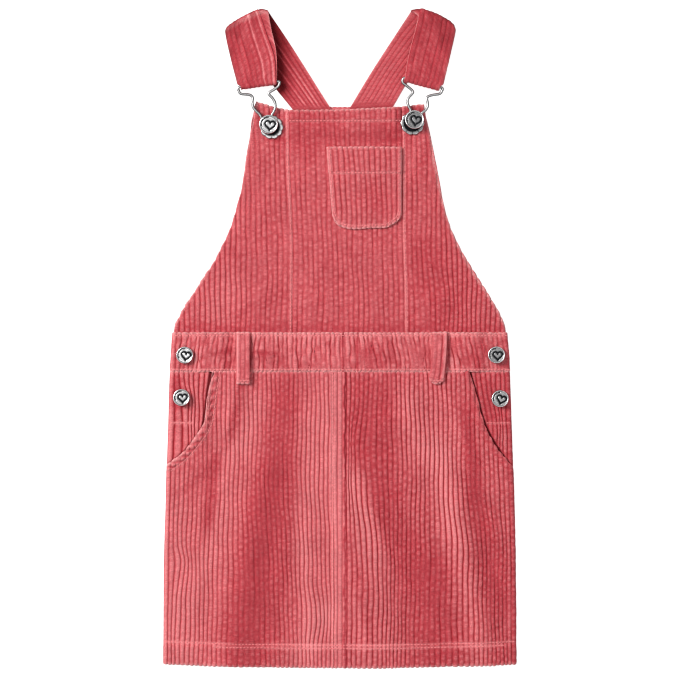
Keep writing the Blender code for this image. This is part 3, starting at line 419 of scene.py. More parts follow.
# Caps: middle and foot, turn of the heart, lean as a slope each way, and patina of the face
Cap = namedtuple("Cap", "place tilt lean dull")
BIB_CAPS = {
    "left": Cap((-65.4, 195.5, BIB_CAP_FOOT), -0.1, (0.03, -0.02), 0.12),
    "right": Cap((68.4, 199.9, BIB_CAP_FOOT), -0.2, (0.09, -0.11), 0.72),
}
SIDE_CAPS = {
    "side_button_upper_left": Cap((-142.4, -16.1, 5.6), -0.15, (0.0, 0.0), 0.0),
    "side_button_lower_left": Cap((-145.5, -55.0, 4.6), 0.05, (0.05, -0.12), 0.42),
    "side_button_upper_right": Cap((143.7, -15.9, 5.6), 0.0, (0.08, -0.1), 0.62),
    "side_button_lower_right": Cap((147.1, -56.1, 4.6), -0.3, (0.02, -0.11), 0.45),
}


# Curves and noise


def mix(start, end, share):
    return start + (end - start) * share


def ease(low, high, value):
    """0 up to low, 1 from high, and a smooth rise between them."""
    share = np.clip((value - low) / (high - low), 0.0, 1.0)
    return share * share * (3.0 - 2.0 * share)


def fall(low, high, value):
    """1 up to low, 0 from high."""
    return 1.0 - ease(low, high, value)


def hump(distance, width):
    """1 in the middle, and less with the distance from it."""
    return np.exp(-((distance / width) ** 2))


def level(value, like):
    """The same number on every place of an array."""
    return np.full(np.shape(like), value)


def smooth_curve(rows):
    """A function through the rows (place, value): it never overshoots them and is level past its ends."""
    rows = sorted(rows)
    places = np.array([row[0] for row in rows], float)
    values = np.array([row[1] for row in rows], float)
    spans = np.diff(places)
    slopes = np.diff(values) / spans
    before, after = slopes[:-1], slopes[1:]
    same_way = before * after > 0
    inner = np.where(same_way, 2 * before * after / np.where(same_way, before + after, 1.0), 0.0)
    tangents = np.concatenate((slopes[:1], inner, slopes[-1:]))

    def at(place):
        place = np.clip(place, places[0], places[-1])
        row = np.clip(np.searchsorted(places, place, side="right") - 1, 0, len(spans) - 1)
        t = (place - places[row]) / spans[row]
        rise = values[row + 1] - values[row]
        start = tangents[row] * spans[row]
        end = tangents[row + 1] * spans[row]
        return values[row] + t * (start + t * (3 * rise - 2 * start - end + t * (start + end - 2 * rise)))

    return at


def solve(miss, low, high, steps=40):
    """The places between low and high where miss(place) changes sign."""
    sign = np.where(miss(low) > 0, 1, -1)
    for _ in range(steps):
        middle = (low + high) / 2
        short = miss(middle) * sign > 0
        low = np.where(short, middle, low)
        high = np.where(short, high, middle)
    return (low + high) / 2


def chance(seed, line, knot):
    """A number from -1 to 1 that is always the same for the same three whole numbers."""
    mixed = (line * 73856093) ^ (knot * 19349663) ^ (seed * 83492791)
    mixed = (mixed ^ (mixed >> 13)) * 1274126177 & 0xFFFFFFFF
    mixed = (mixed ^ (mixed >> 16)) & 0xFFFF
    return mixed / 32767.5 - 1.0


def drift(seed, line, along, step):
    """A smooth random line for each whole number in line, with a new value every step along it."""
    line = np.asarray(line).astype(np.int64)
    knot = np.floor(along / step).astype(np.int64)
    share = along / step - knot
    share = share * share * (3.0 - 2.0 * share)
    return mix(chance(seed, line, knot), chance(seed, line, knot + 1), share)


def line_distance(x, y, line):
    """Distance from every (x, y) to a line of points."""
    nearest = level(1e9, x)
    for (x0, y0), (x1, y1) in zip(line, line[1:]):
        dx, dy = x1 - x0, y1 - y0
        share = np.clip(((x - x0) * dx + (y - y0) * dy) / (dx * dx + dy * dy), 0.0, 1.0)
        nearest = np.minimum(nearest, np.hypot(x - x0 - share * dx, y - y0 - share * dy))
    return nearest


side_at = smooth_curve(SIDE)
armhole_at = smooth_curve(ARMHOLE)
princess_left_at = smooth_curve(PRINCESS_LEFT)
princess_right_at = smooth_curve(PRINCESS_RIGHT)
bib_top_at = smooth_curve(BIB_TOP)
back_top_at = smooth_curve(BACK_TOP)
pocket_foot_at = smooth_curve(POCKET_FOOT)
pocket_lift_at = smooth_curve(POCKET_LIFT)
pocket_curve_at = {side: smooth_curve(rows) for side, rows in POCKET_CURVE.items()}
SIDE_AT_WAIST = float(side_at(WAIST_BOTTOM))


def pocket_line(side):
    """The hip-pocket edge as close points."""
    rows = POCKET_CURVE[side]
    places = np.linspace(rows[0][0], rows[-1][0], 25)
    return list(zip(side * places, pocket_curve_at[side](places)))


POCKET_LINE = {side: pocket_line(side) for side in (-1, 1)}


# Heights of the layers


def side_roll(x, y):
    """How far the cloth rolls down towards the side seam."""
    room = np.clip((side_at(y) - np.abs(x)) / SIDE_ROLL_WIDTH, 0.0, 1.0)
    return SIDE_ROLL * (1.0 - room) ** 2


def strap_lift(x, y):
    """The bib rides over the strap ends sewn between it and the back."""
    lift = STRAP_BASE_THICK + LAYER_GAP
    across = ease(*STRAP_LIFT_LEFT, x) * fall(*STRAP_LIFT_RIGHT, x)
    return lift * ease(STRAP_RAMP_Y, STRAP_FULL_Y, y) * across


def pocket_distance(x, y):
    """Distance from the hip-pocket edge, positive on the skirt front and negative on the facing."""
    found = {}
    for side in (-1, 1):
        nearest = line_distance(x, y, POCKET_LINE[side])
        past = (side * x > POCKET_CURVE[side][0][0]) & (y > pocket_curve_at[side](np.abs(x)))
        found[side] = np.where(past, -nearest, nearest)
    return np.where(x < 0, found[-1], found[1])


def fold_height(x, y):
    """The soft folds of the skirt front, which grow and lean outwards towards the hem."""
    height = 0.0
    for fold in FOLDS:
        share = (fold.top_y - y) / (fold.top_y - HEM_Y)
        middle = mix(fold.top_x, fold.bottom_x, share)
        crest = hump(x - middle, fold.width)
        height = height + fold.height * crest * ease(0.0, 0.45, share)
    return height


def stroke(x, y, row, start_width, end_width):
    """1 on the line of a row, and less away from it and past its ends."""
    dx, dy = row.x1 - row.x0, row.y1 - row.y0
    length = math.hypot(dx, dy)
    along = ((x - row.x0) * dx + (y - row.y0) * dy) / length**2
    across = ((x - row.x0) * dy - (y - row.y0) * dx) / length
    width = mix(start_width, end_width, np.clip(along, 0.0, 1.0))
    fade = ease(-STROKE_FADE, STROKE_FADE, along) * fall(1.0 - STROKE_FADE, 1.0 + STROKE_FADE, along)
    return hump(across, width) * fade


def crease_height(x, y):
    height = 0.0
    for crease in map(Crease._make, CREASES):
        height = height + crease.height * stroke(x, y, crease, crease.width, crease.width)
    return height


# Painted light and shade of the strokes
def stroke_light_tone(x, y):
    tone = 0.0
    for row in map(LitStroke._make, LIGHT_AND_SHADE_STROKES):
        tone = tone + row.tone * stroke(x, y, row, row.start_width, row.end_width)
    return tone


def sway(piece, x, y):
    """How far the wales of a piece lean sideways, and their slow waver."""
    shift = 0.5 * np.sin(y / 19.0 + 1.7 * np.sin(x / 27.0)) + 0.3 * np.sin(y / 8.3 + x / 6.0)
    own = [rows for name, rows in SWAYS.items() if piece.name.startswith(name)]
    for row in map(Sway._make, own[0] if own else ()):
        across = hump(x - row.x, row.reach)
        shift = shift + row.shift * across * ease(-row.y0, -row.y1, -y)
    return shift


def bib_inside(x, y):
    return BACK_WALL + LAYER_GAP + strap_lift(x, y)


def band_inside(x, y):
    bump = ease(*BAND_RISE, np.abs(x)) * fall(*BAND_FALL, np.abs(x))
    return BACK_WALL + LAYER_GAP + BAND_LIFT * bump - side_roll(x, y)


def skirt_inside(x, y):
    lift = pocket_lift_at(pocket_distance(x, y))
    fold = fold_height(x, y) * ease(0.0, FOLD_SIDE, side_at(y) - np.abs(x))
    return BACK_WALL + LAYER_GAP + lift + fold - side_roll(x, y)


def facing_inside(x, y):
    return BACK_WALL + LAYER_GAP - side_roll(x, y)


def pocket_inside(x, y):
    return bib_inside(x, y) + WALL + RIB_CREST + LAYER_GAP


# Plan of the pieces


def skirt_x(place, y):
    """Columns of the skirt spread with its side seams and stay upright at the middle seam."""
    side = np.where(place < FRONT_SEAM_X, -1.0, 1.0)
    share = (place - FRONT_SEAM_X) / (side * SIDE_AT_WAIST - FRONT_SEAM_X)
    return FRONT_SEAM_X + share * (side * side_at(y) - FRONT_SEAM_X)


def band_x(place, y):
    return place * side_at(y) / SIDE_AT_WAIST


def bib_x(place, y):
    """Columns of the bib spread evenly between its two long seams, and from them to its tips."""
    left, right = PRINCESS_LEFT[-1][1], PRINCESS_RIGHT[-1][1]
    by_left = np.interp(place, (-BIB_TIP_X, left, right), (0.0, 1.0, 0.0))
    by_right = np.interp(place, (left, right, BIB_TIP_X), (0.0, 1.0, 0.0))
    return place + by_left * (princess_left_at(y) - left) + by_right * (princess_right_at(y) - right)


def chest_pocket_x(place, y):
    span = POCKET_RIGHT_X - POCKET_LEFT_X
    lean = POCKET_LEAN * np.minimum((POCKET_TOP_Y - y) / POCKET_LEAN_DEPTH, 1.0)
    return place + lean * (POCKET_RIGHT_X - place) / span


def loop_x(loop, place, y, way=1.0):
    """Where a place across a belt loop lies at a height, as the loop leans; way -1 goes back."""
    share = (LOOP_TOP_Y - y) / (LOOP_TOP_Y - LOOP_BOTTOM_Y)
    return place + way * loop.lean * share * share


def seam_strip(x):
    """1 on the flattened strip beside the middle seam of the skirt."""
    return np.exp(-(((x - STRIP_X) / STRIP_HALF) ** 4))


def hem_at(x):
    return HEM_Y + HEM_RISE * (x / side_at(HEM_Y)) ** 2


def bib_edge(x):
    """Upper edge of the bib: its top between the corners and the armhole beyond them."""
    top = bib_top_at(x)
    corner = (x >= BIB_CORNER_LEFT) & (x <= BIB_CORNER_RIGHT)
    return np.where(corner, top, np.minimum(armhole_at(np.abs(x)), top))


def pocket_top(place):
    """Top of the skirt front at a column: the waist seam, or the hip-pocket edge beyond its start."""
    seam = level(WAIST_BOTTOM, place)
    found = seam.copy()
    for side in (-1, 1):
        y = seam.copy()
        for _ in range(14):
            y = pocket_curve_at[side](np.abs(skirt_x(place, y)))
        beyond = side * place > POCKET_CURVE[side][0][0]
        found = np.where(beyond, y, found)
    return found


# Meshes


def link(name, data):
    made = bpy.data.objects.new(name, data)
    bpy.context.scene.collection.objects.link(made)
    return made


def mesh_object(name, points, faces, marks):
    """A mesh with a number per point under each name in marks. Points are in millimetres."""
    mesh = bpy.data.meshes.new(name)
    mesh.from_pydata((np.asarray(points) * MM).tolist(), [], faces)
    for mark, values in marks.items():
        attribute = mesh.attributes.new(mark, "FLOAT", "POINT")
        attribute.data.foreach_set("value", np.asarray(values, np.float32))
    mesh.validate()
    mesh.shade_smooth()
    return link(name, mesh)


def line_object(name, lines, closed=False):
    """A curve with a line for each grid of points, in millimetres."""
    curve = bpy.data.curves.new(name, "CURVE")
    curve.dimensions = "3D"
    for points in lines:
        spline = curve.splines.new("POLY")
        spline.points.add(len(points) - 1)
        flat = np.concatenate((points * MM, np.ones((len(points), 1))), 1).reshape(-1)
        spline.points.foreach_set("co", flat.astype(np.float32))
        spline.use_cyclic_u = closed
    return link(name, curve)


def grid_faces(first, rows, columns, flip=False):
    """Quads between neighbouring points of a grid whose points are numbered row by row from first."""
    index = first + np.arange(rows * columns).reshape(rows, columns)
    quads = np.stack((index[:-1, :-1], index[:-1, 1:], index[1:, 1:], index[1:, :-1]), -1).reshape(-1, 4)
    return quads[:, ::-1].tolist() if flip else quads.tolist()


def shell(name, outer, inner, keep, marks, under_marks=None):
    """A closed wall between two grids (rows, columns, 3), with a grid of numbers under each name in marks.

    The inner grid holds only the columns in keep. It has no ribs, unless under_marks has its own numbers.
    """
    rows, columns = outer.shape[:2]
    kept = len(keep)
    first = rows * columns
    top = np.arange(first).reshape(rows, columns)
    under = first + np.arange(rows * kept).reshape(rows, kept)
    faces = grid_faces(0, rows, columns) + grid_faces(first, rows, kept, flip=True)
    for r in range(rows - 1):
        faces.append([top[r, 0], top[r + 1, 0], under[r + 1, 0], under[r, 0]])
        faces.append([top[r + 1, -1], top[r, -1], under[r, -1], under[r + 1, -1]])
    for k, (a, b) in enumerate(zip(keep, keep[1:])):
        span = list(range(a, b + 1))
        faces.append([under[0, k], under[0, k + 1]] + [top[0, c] for c in reversed(span)])
        faces.append([under[-1, k + 1], under[-1, k]] + [top[-1, c] for c in span])
    faces = [[int(i) for i in face] for face in faces]
    points = np.concatenate((outer.reshape(-1, 3), inner.reshape(-1, 3)))
    hidden = {mark: values[:, keep] for mark, values in marks.items()}
    hidden.update(under_marks or {"rib": np.zeros((rows, kept))})
    both = {mark: np.concatenate((values.ravel(), hidden[mark].ravel())) for mark, values in marks.items()}
    return mesh_object(name, points, faces, both)


def wale_columns(start, end, wales=None):
    """Places and wale numbers of the columns across a ribbed panel, with a valley at both edges."""
    wales = wales or round((end - start) / WALE_PITCH)
    number = np.concatenate([wale + np.array(WALE_SHARES) for wale in range(wales)] + [np.array([wales])])
    return start + number * (end - start) / wales, number


def rows_between(low, high, breaks, step):
    """Heights of every column's points: close at both ends, and about a step apart between the breaks."""
    edge = np.minimum(EDGE_ROWS[-1], (high - low) / 4)
    shares = np.array(EDGE_ROWS) / EDGE_ROWS[-1]
    stations = [low + edge, *[level(value, low) for value in breaks], high - edge]
    places = [low + edge * share for share in shares]
    for start, end in zip(stations, stations[1:]):
        steps = max(1, math.ceil(float(np.max(end - start)) / step))
        places += [mix(start, end, (i + 1) / steps) for i in range(steps)]
    places += [high - edge * share for share in shares[-2::-1]]
    return np.array(places)


Piece = namedtuple("Piece", "name inside wall x_at ends sewing tone clear")


def side_of(piece):
    return -1 if piece.name.endswith("left") else 1


def is_loop(piece):
    return piece.name.startswith("belt_loop")


def pressed(piece, x, y):
    """How much of the pile stands: 1 in the open, less beside a stitch row."""
    standing = np.ones(np.shape(x))
    for row in piece.sewing:
        near = hump(line_distance(x, y, row), PRESS_WIDTH)
        standing = standing * (1.0 - (1.0 - PRESSED) * near)
    return standing


def light_and_shade_tone(piece, x, y):
    """Painted light and shade: lighter where the cloth slopes up towards the light, darker where it slopes
    away, with the painted strokes and the piece's own tone.
    """
    step = SLOPE_STEP

    def height(x, y):
        return piece.inside(x, y) + crease_height(x, y)

    slope_x = (height(x + step, y) - height(x - step, y)) / (2 * step)
    slope_y = (height(x, y + step) - height(x, y - step)) / (2 * step)
    tone = SLOPE_SHADE_GAIN * (LIGHT_FACING_WAY[0] * slope_x + LIGHT_FACING_WAY[1] * slope_y)
    own = piece.tone(x, y) if callable(piece.tone) else piece.tone
    painted_strokes = 0.0 if is_loop(piece) else stroke_light_tone(x, y)
    return np.clip(tone, -0.3, 0.3) + painted_strokes + own


def edge_roll(room, drop=EDGE_DROP):
    """How far a free edge rolls down, at a distance in from it."""
    share = np.clip(1.0 - room / EDGE_R, 0.0, 1.0)
    return drop * (1.0 - np.sqrt(1.0 - share * share))


def make_panel(piece, start, end, room_at, wales=None, breaks=(), seed=1, step=ROW_STEP, wander=0.16):
    """A ribbed panel as a shell: returns its object and its flat width, length and area in metres."""
    places, number = wale_columns(start, end, wales)
    low, high = piece.ends(places)
    y = rows_between(low, high, breaks, step)
    number = np.broadcast_to(number, y.shape)
    nearest = np.round(number)
    shift = wander * (drift(seed, nearest, y, 11.0) + 0.6 * drift(seed + 7, nearest, y, 4.0))
    from_side = np.minimum(number - number[0, 0], number[0, -1] - number)
    side_room = from_side * WALE_PITCH
    x = piece.x_at(places[None, :], y) + shift * np.clip(from_side, 0.0, 1.0)
    if not is_loop(piece):
        x = x + sway(piece, x, y) * ease(0.0, SWAY_EASE, side_room)
    inner = piece.inside(x, y) + crease_height(x, y)
    standing = pressed(piece, x, y)
    notch = NOTCH * ease(0.4, 1.0, np.abs(2.0 * (number % 1.0) - 1.0))
    room = np.maximum(room_at(x, y, low, high) - notch, 0.0)
    bare = gape(piece, x, y)
    wall = piece.wall(x, y) - (RIB_DEPTH - RIB_CREST) - PRESS_DIP * (1.0 - standing) - 0.3 * bare
    # pale edges: wear, and a painted highlight where the edge rolls over
    rim = hump(room, PALE_EDGE_WIDTH)
    if piece.name == "skirt_front_right":
        rim = rim * mix(EDGE_PALE_SHARE, 1.0, ease(*EDGE_PALE_ENDS, np.abs(pocket_distance(x, y))))
    dropped = edge_roll(room, np.minimum(EDGE_DROP, 0.6 * wall)) + edge_roll(side_room, SEAM_DROP)
    height = inner + wall - dropped
    keep = list(range(0, len(places), len(WALE_SHARES)))
    nap = light_and_shade_tone(piece, x, y)
    clear = piece.clear(x, y) if callable(piece.clear) else piece.clear
    marks = {
        "wale": number,
        "along": y,
        "rib": standing * (1.0 - bare) * rib_share(piece, x, y),
        # pale pile beside stitches and at the edges: wear, and painted highlight
        "worn": np.maximum((1.0 - standing) * 0.9, rim),
        # painted light and shade, less the painted shade of the pocket's inside where a facing gapes
        "nap": nap - SLIT_SHADE[side_of(piece)] * bare,
        "clear": np.clip(clear + np.where(nap > 0.0, CLEAR_GAIN, SHADED_CLEAR_GAIN) * nap, 0.0, 1.0),
    }
    made = shell(piece.name, np.stack((x, y, height), -1), np.stack((x, y, inner), -1)[:, keep], keep, marks)
    return made, flat_size(x, places, low, high)


def flat_size(x, places, low, high):
    """Flat width, length and area of a panel, in metres."""
    tall = high - low
    area = float(np.sum((tall[1:] + tall[:-1]) / 2 * np.diff(places))) * MM * MM
    return (x.max() - x.min()) * MM, float(high.max() - low.min()) * MM, area


def gape(piece, x, y):
    """1 where a pocket facing has lost its ribs, under the skirt front that gapes at the top."""
    if not piece.name.startswith("pocket_facing"):
        return 0.0 * x
    side = side_of(piece)
    width = SLIT_WIDTH[side] * ease(SLIT_END_Y[side] - 14.0, SLIT_END_Y[side] + 6.0, y)
    return ease(-width - 1.0, 0.5 - width, pocket_distance(x, y))


def rib_share(piece, x, y):
    """How high the ribs are: low along the turned hip-pocket edge and on the belt loops."""
    if piece.name.startswith("skirt_front"):
        side = side_of(piece)
        flat = SKIRT_RIB[side] * (1.0 - 0.4 * seam_strip(x))
        away = ease(PUFF_END - 1.5, PUFF_END + 0.5, np.abs(pocket_distance(x, y)))
        return mix(EDGE_RIB[side], flat, away)
    if piece.name == "belt_loop_left":
        return LOOP_RIB + 0.0 * x
    if piece.name == "belt_loop_right":
        return mix(LOOP_RIB, LOOP_EDGE_RIB, ease(*LOOP_EDGE_X, loop_x(LOOPS[1], x, y, -1.0)))
    return BIB_RIBS.get(piece.name, 1.0) + 0.0 * x


def end_room(x, y, low, high):
    """Room to the ends of each column, as both are free."""
    return np.minimum(y - low, high - y)


# Node trees


class Field:
    """A number in a node tree: every reckoning with it adds a node."""

    def __init__(self, wires, socket):
        self.wires = wires
        self.socket = socket

    def __add__(self, other):
        return self.wires.math("ADD", self, other)

    def __sub__(self, other):
        return self.wires.math("SUBTRACT", self, other)

    def __rsub__(self, other):
        return self.wires.math("SUBTRACT", other, self)

    def __mul__(self, other):
        return self.wires.math("MULTIPLY", self, other)

    def __truediv__(self, other):
        return self.wires.math("DIVIDE", self, other)

    def __pow__(self, other):
        return self.wires.math("POWER", self, other)


class Wires:
    """Adds nodes to a tree and joins them."""

    def __init__(self, tree):
        self.tree = tree

    def node(self, kind, inputs=(), **settings):
        """A node with its settings, and with a value or another node's socket on the inputs named here."""
        made = self.tree.nodes.new(kind)
        for key, value in settings.items():
            setattr(made, key, value)
        for key, value in dict(inputs).items():
            self.put(made.inputs[key], value)
        return made

    def put(self, socket, value):
        """Sets a socket, or joins another to it."""
        if isinstance(value, Field):
            value = value.socket
        if isinstance(value, bpy.types.NodeSocket):
            self.tree.links.new(value, socket)
        else:
            socket.default_value = value

    def math(self, operation, *values):
        made = self.node("ShaderNodeMath", enumerate(values), operation=operation)
        return Field(self, made.outputs[0])

    def vector(self, x=0.0, y=0.0, z=0.0):
        return self.node("ShaderNodeCombineXYZ", enumerate((x, y, z))).outputs[0]

    def height_of(self, vector):
        return self.node("ShaderNodeSeparateXYZ", {0: vector}).outputs["Z"]

    def noise(self, vector, detail=1.0, roughness=0.5, scale=1.0):
        inputs = {"Vector": vector, "Scale": scale, "Detail": detail, "Roughness": roughness}
        return Field(self, self.node("ShaderNodeTexNoise", inputs, noise_dimensions="3D").outputs[0])

    def span(self, value, low, high, to_low=0.0, to_high=1.0, smooth=False):
        kind = "SMOOTHSTEP" if smooth else "LINEAR"
        inputs = enumerate((value, low, high, to_low, to_high))
        return Field(self, self.node("ShaderNodeMapRange", inputs, interpolation_type=kind).outputs[0])

    def blend(self, share, first, second, kind="MIX"):
        inputs = {0: share, 6: first, 7: second}
        return self.node("ShaderNodeMix", inputs, data_type="RGBA", blend_type=kind).outputs[2]

    def store(self, geometry, label, value):
        """The geometry with a number on each of its points."""
        inputs = {"Geometry": geometry, "Name": label, "Value": value}
        kind = "GeometryNodeStoreNamedAttribute"
        return self.node(kind, inputs, data_type="FLOAT", domain="POINT").outputs[0]

    def smooth(self, geometry):
        return self.node("GeometryNodeSetShadeSmooth", {0: geometry}).outputs[0]

    def ball(self, radius):
        return self.node("GeometryNodeMeshUVSphere", {"Segments": 8, "Rings": 6, "Radius": radius}).outputs[0]


SOCKETS = {float: "Float", int: "Int", tuple: "Color", Vector: "Vector"}


def new_group(name, kind, inputs, outputs):
    """A node group with named sockets. Returns it, its wires, what it is given and its output node's sockets.

    An input's socket follows from its default, or from its name where it has none.
    """
    tree = bpy.data.node_groups.new(name, kind)
    for label, default in inputs.items():
        socket = SOCKETS.get(type(default), label)
        made = tree.interface.new_socket(label, in_out="INPUT", socket_type=f"NodeSocket{socket}")
        if default is not None:
            made.default_value = default
    for label, socket in outputs.items():
        tree.interface.new_socket(label, in_out="OUTPUT", socket_type=f"NodeSocket{socket}")
    wires = Wires(tree)
    source = wires.node("NodeGroupInput").outputs
    given = {label: Field(wires, source[label]) for label in inputs}
    return tree, wires, given, wires.node("NodeGroupOutput").inputs


def shape_tree(name, sizes):
    """A geometry tree with named sizes and a material."""
    inputs = {"Geometry": None, **sizes, "Material": None}
    return new_group(name, "GeometryNodeTree", inputs, {"Geometry": "Geometry"})


def named(wires, label):
    kind = "GeometryNodeInputNamedAttribute"
    return Field(wires, wires.node(kind, {"Name": label}, data_type="FLOAT").outputs[0])


def finish_tree(wires, geometry, given, target):
    """Realize Instances and Set Material, which every tree ends in."""
    real = wires.node("GeometryNodeRealizeInstances", {0: geometry})
    coat = wires.node("GeometryNodeSetMaterial", {"Geometry": real.outputs[0], "Material": given["Material"]})
    wires.put(target["Geometry"], coat.outputs[0])


def wales_tree():
    """Raises a rounded wale between every two whole numbers of the attribute wale."""
    tree, wires, given, target = shape_tree(
        "Corduroy wales",
        {
            "Rib Height": 0.00115,
            "Roundness": 2.4,
            "Clump Length": 6.5,
            "Clump Amount": 0.16,
            "Valley Fill": 0.35,
            "Seed": 3.0,
        },
    )
    wale, along, rib, clear = (named(wires, label) for label in ("wale", "along", "rib", "clear"))
    from_crest = wires.math("ABSOLUTE", wires.math("FRACT", wale) * 2.0 - 1.0)
    profile = 1.0 - from_crest ** given["Roundness"]
    crest = wires.math("FLOOR", wale)
    lane = crest * 7.13
    # clumps of pile along every wale, in a long wave and in short lumps
    stray = wires.noise(wires.vector(crest / 3.5, along / 34.0, given["Seed"]))
    jitter = wires.noise(wires.vector(lane, along / 13.0, 43.0))
    phase = stray * 2.4 + (jitter * 1.7 + (crest * 0.5 + along / given["Clump Length"]))
    wave = wires.math("COSINE", phase * (2.0 * math.pi))
    lumps = wires.span(wires.noise(wires.vector(lane, along / 2.4, 31.0)), 0.34, 0.66, 0.0, 0.4)
    bead = wires.span(wave * 0.3 + 0.3 + lumps, 0.05, 0.9, smooth=True)
    patch = wires.noise(wires.vector(lane, along / 14.0, 5.0))
    strength = wires.span(patch, 0.34, 0.62, 0.6, 1.0) * given["Clump Amount"]
    strength = strength * wires.span(clear, 0.25, 0.9, 1.0, 0.3)
    size = (bead - 1.0) * strength + 1.0
    # pile that fills the valleys
    gully = wires.math("FLOOR", wale + 0.5) * 5.37
    long_fill = wires.noise(wires.vector(gully, along / 60.0, 14.0))
    short_fill = wires.noise(wires.vector(gully, along / 4.5, 19.0))
    most = given["Valley Fill"] * wires.span(clear, 0.1, 0.8, 1.0, 0.2)
    fill = wires.span(long_fill * 0.65 + short_fill * 0.35, 0.4, 0.6, 0.35, 1.15) * most
    height = wires.math("SMOOTH_MAX", profile * size, fill, 0.12)
    normal = wires.node("GeometryNodeInputNormal").outputs[0]
    rise = {0: normal, "Scale": height * rib * given["Rib Height"]}
    offset = wires.node("ShaderNodeVectorMath", rise, operation="SCALE").outputs[0]
    move = wires.node("GeometryNodeSetPosition", {"Geometry": given["Geometry"], "Offset": offset})
    ribbed = wires.store(move.outputs[0], "pile", 1.0 - (1.0 - height) * rib)
    finish_tree(wires, ribbed, given, target)
    return tree


def stitch_tree():
    """Lays one stitch after another along a line."""
    sizes = {"Stitch Length": 0.0026, "Gap": 0.0009, "Thread Radius": 0.0003, "Seed": 5}
    tree, wires, given, target = shape_tree("Stitch row", sizes)
    row = {"Curve": given["Geometry"], "Length": given["Stitch Length"] + given["Gap"]}
    points = wires.node("GeometryNodeCurveToPoints", row, mode="LENGTH")
    heading = {"Vector": points.outputs["Tangent"]}
    turn = wires.node("FunctionNodeAlignRotationToVector", heading, axis="X").outputs[0]
    uneven = {2: 0.86, 3: 1.12, "Seed": given["Seed"]}
    vary = wires.node("FunctionNodeRandomValue", uneven, data_type="FLOAT").outputs[1]
    half = given["Stitch Length"] * 0.5 * vary
    place = wires.node(
        "GeometryNodeInstanceOnPoints",
        {
            "Points": points.outputs["Points"],
            "Instance": wires.ball(1.0),
            "Rotation": turn,
            "Scale": wires.vector(half, given["Thread Radius"], given["Thread Radius"]),
        },
    )
    finish_tree(wires, place.outputs[0], given, target)
    return tree


def wire_tree():
    """A round wire along a line, with painted reflection: darker on its sides and paler on top."""
    tree, wires, given, target = shape_tree("Round wire", {"Radius": 0.001, "Sides": 14})
    round_wire = {"Resolution": given["Sides"], "Radius": given["Radius"]}
    ring = wires.node("GeometryNodeCurvePrimitiveCircle", round_wire, mode="RADIUS").outputs[0]
    tube = wires.node("GeometryNodeCurveToMesh", {"Curve": given["Geometry"], "Profile Curve": ring})
    up = wires.height_of(wires.node("GeometryNodeInputNormal").outputs[0])
    # painted reflection: the sides darker and the top paler, by the way the face points
    darkened = wires.store(tube.outputs[0], "hollow", wires.span(up, 0.35, 0.95, 0.95, 0.36))
    finish_tree(wires, wires.smooth(darkened), given, target)
    return tree


def bead_tree():
    """An arc of small beads about a place."""
    sizes = {
        "Count": 36,
        "Ring Radius": 0.0066,
        "Bead Radius": 0.0004,
        "Start": 0.0,
        "Sweep": 3.0,
        "Place": Vector((0.0, 0.0, 0.0)),
    }
    tree, wires, given, target = shape_tree("Bead ring", sizes)
    arc = {
        "Resolution": given["Count"],
        "Radius": given["Ring Radius"],
        "Start Angle": given["Start"],
        "Sweep Angle": given["Sweep"],
    }
    ring = wires.node("GeometryNodeCurveArc", arc, mode="RADIUS").outputs[0]
    beads = {"Points": ring, "Instance": wires.ball(given["Bead Radius"])}
    place = wires.node("GeometryNodeInstanceOnPoints", beads).outputs[0]
    move = wires.node("GeometryNodeTransform", {"Geometry": place, "Translation": given["Place"]})
    finish_tree(wires, wires.smooth(move.outputs[0]), given, target)
    return tree


TREES = {"wales": wales_tree, "stitch": stitch_tree, "wire": wire_tree, "beads": bead_tree}


def run_tree(piece, which, values):
    """Runs a node tree on a piece, with values by input name, and puts the plain result in its place."""
    label = f"pinafore {which}"
    tree = bpy.data.node_groups.get(label)
    if tree is None:
        tree = TREES[which]()
        tree.name = label
    modifier = piece.modifiers.new(which, "NODES")
    modifier.node_group = tree
    sockets = {item.name: item.identifier for item in tree.interface.items_tree if item.in_out == "INPUT"}
    for key, value in values.items():
        modifier[sockets[key]] = value
    depsgraph = bpy.context.evaluated_depsgraph_get()
    mesh = bpy.data.meshes.new_from_object(
        piece.evaluated_get(depsgraph), preserve_all_data_layers=True, depsgraph=depsgraph
    )
    name = piece.name
    bpy.data.objects.remove(piece)
    mesh.name = name
    return link(name, mesh)


# Materials

FINISH = {"Colour": "Color", "Roughness": "Float", "Height": "Float"}


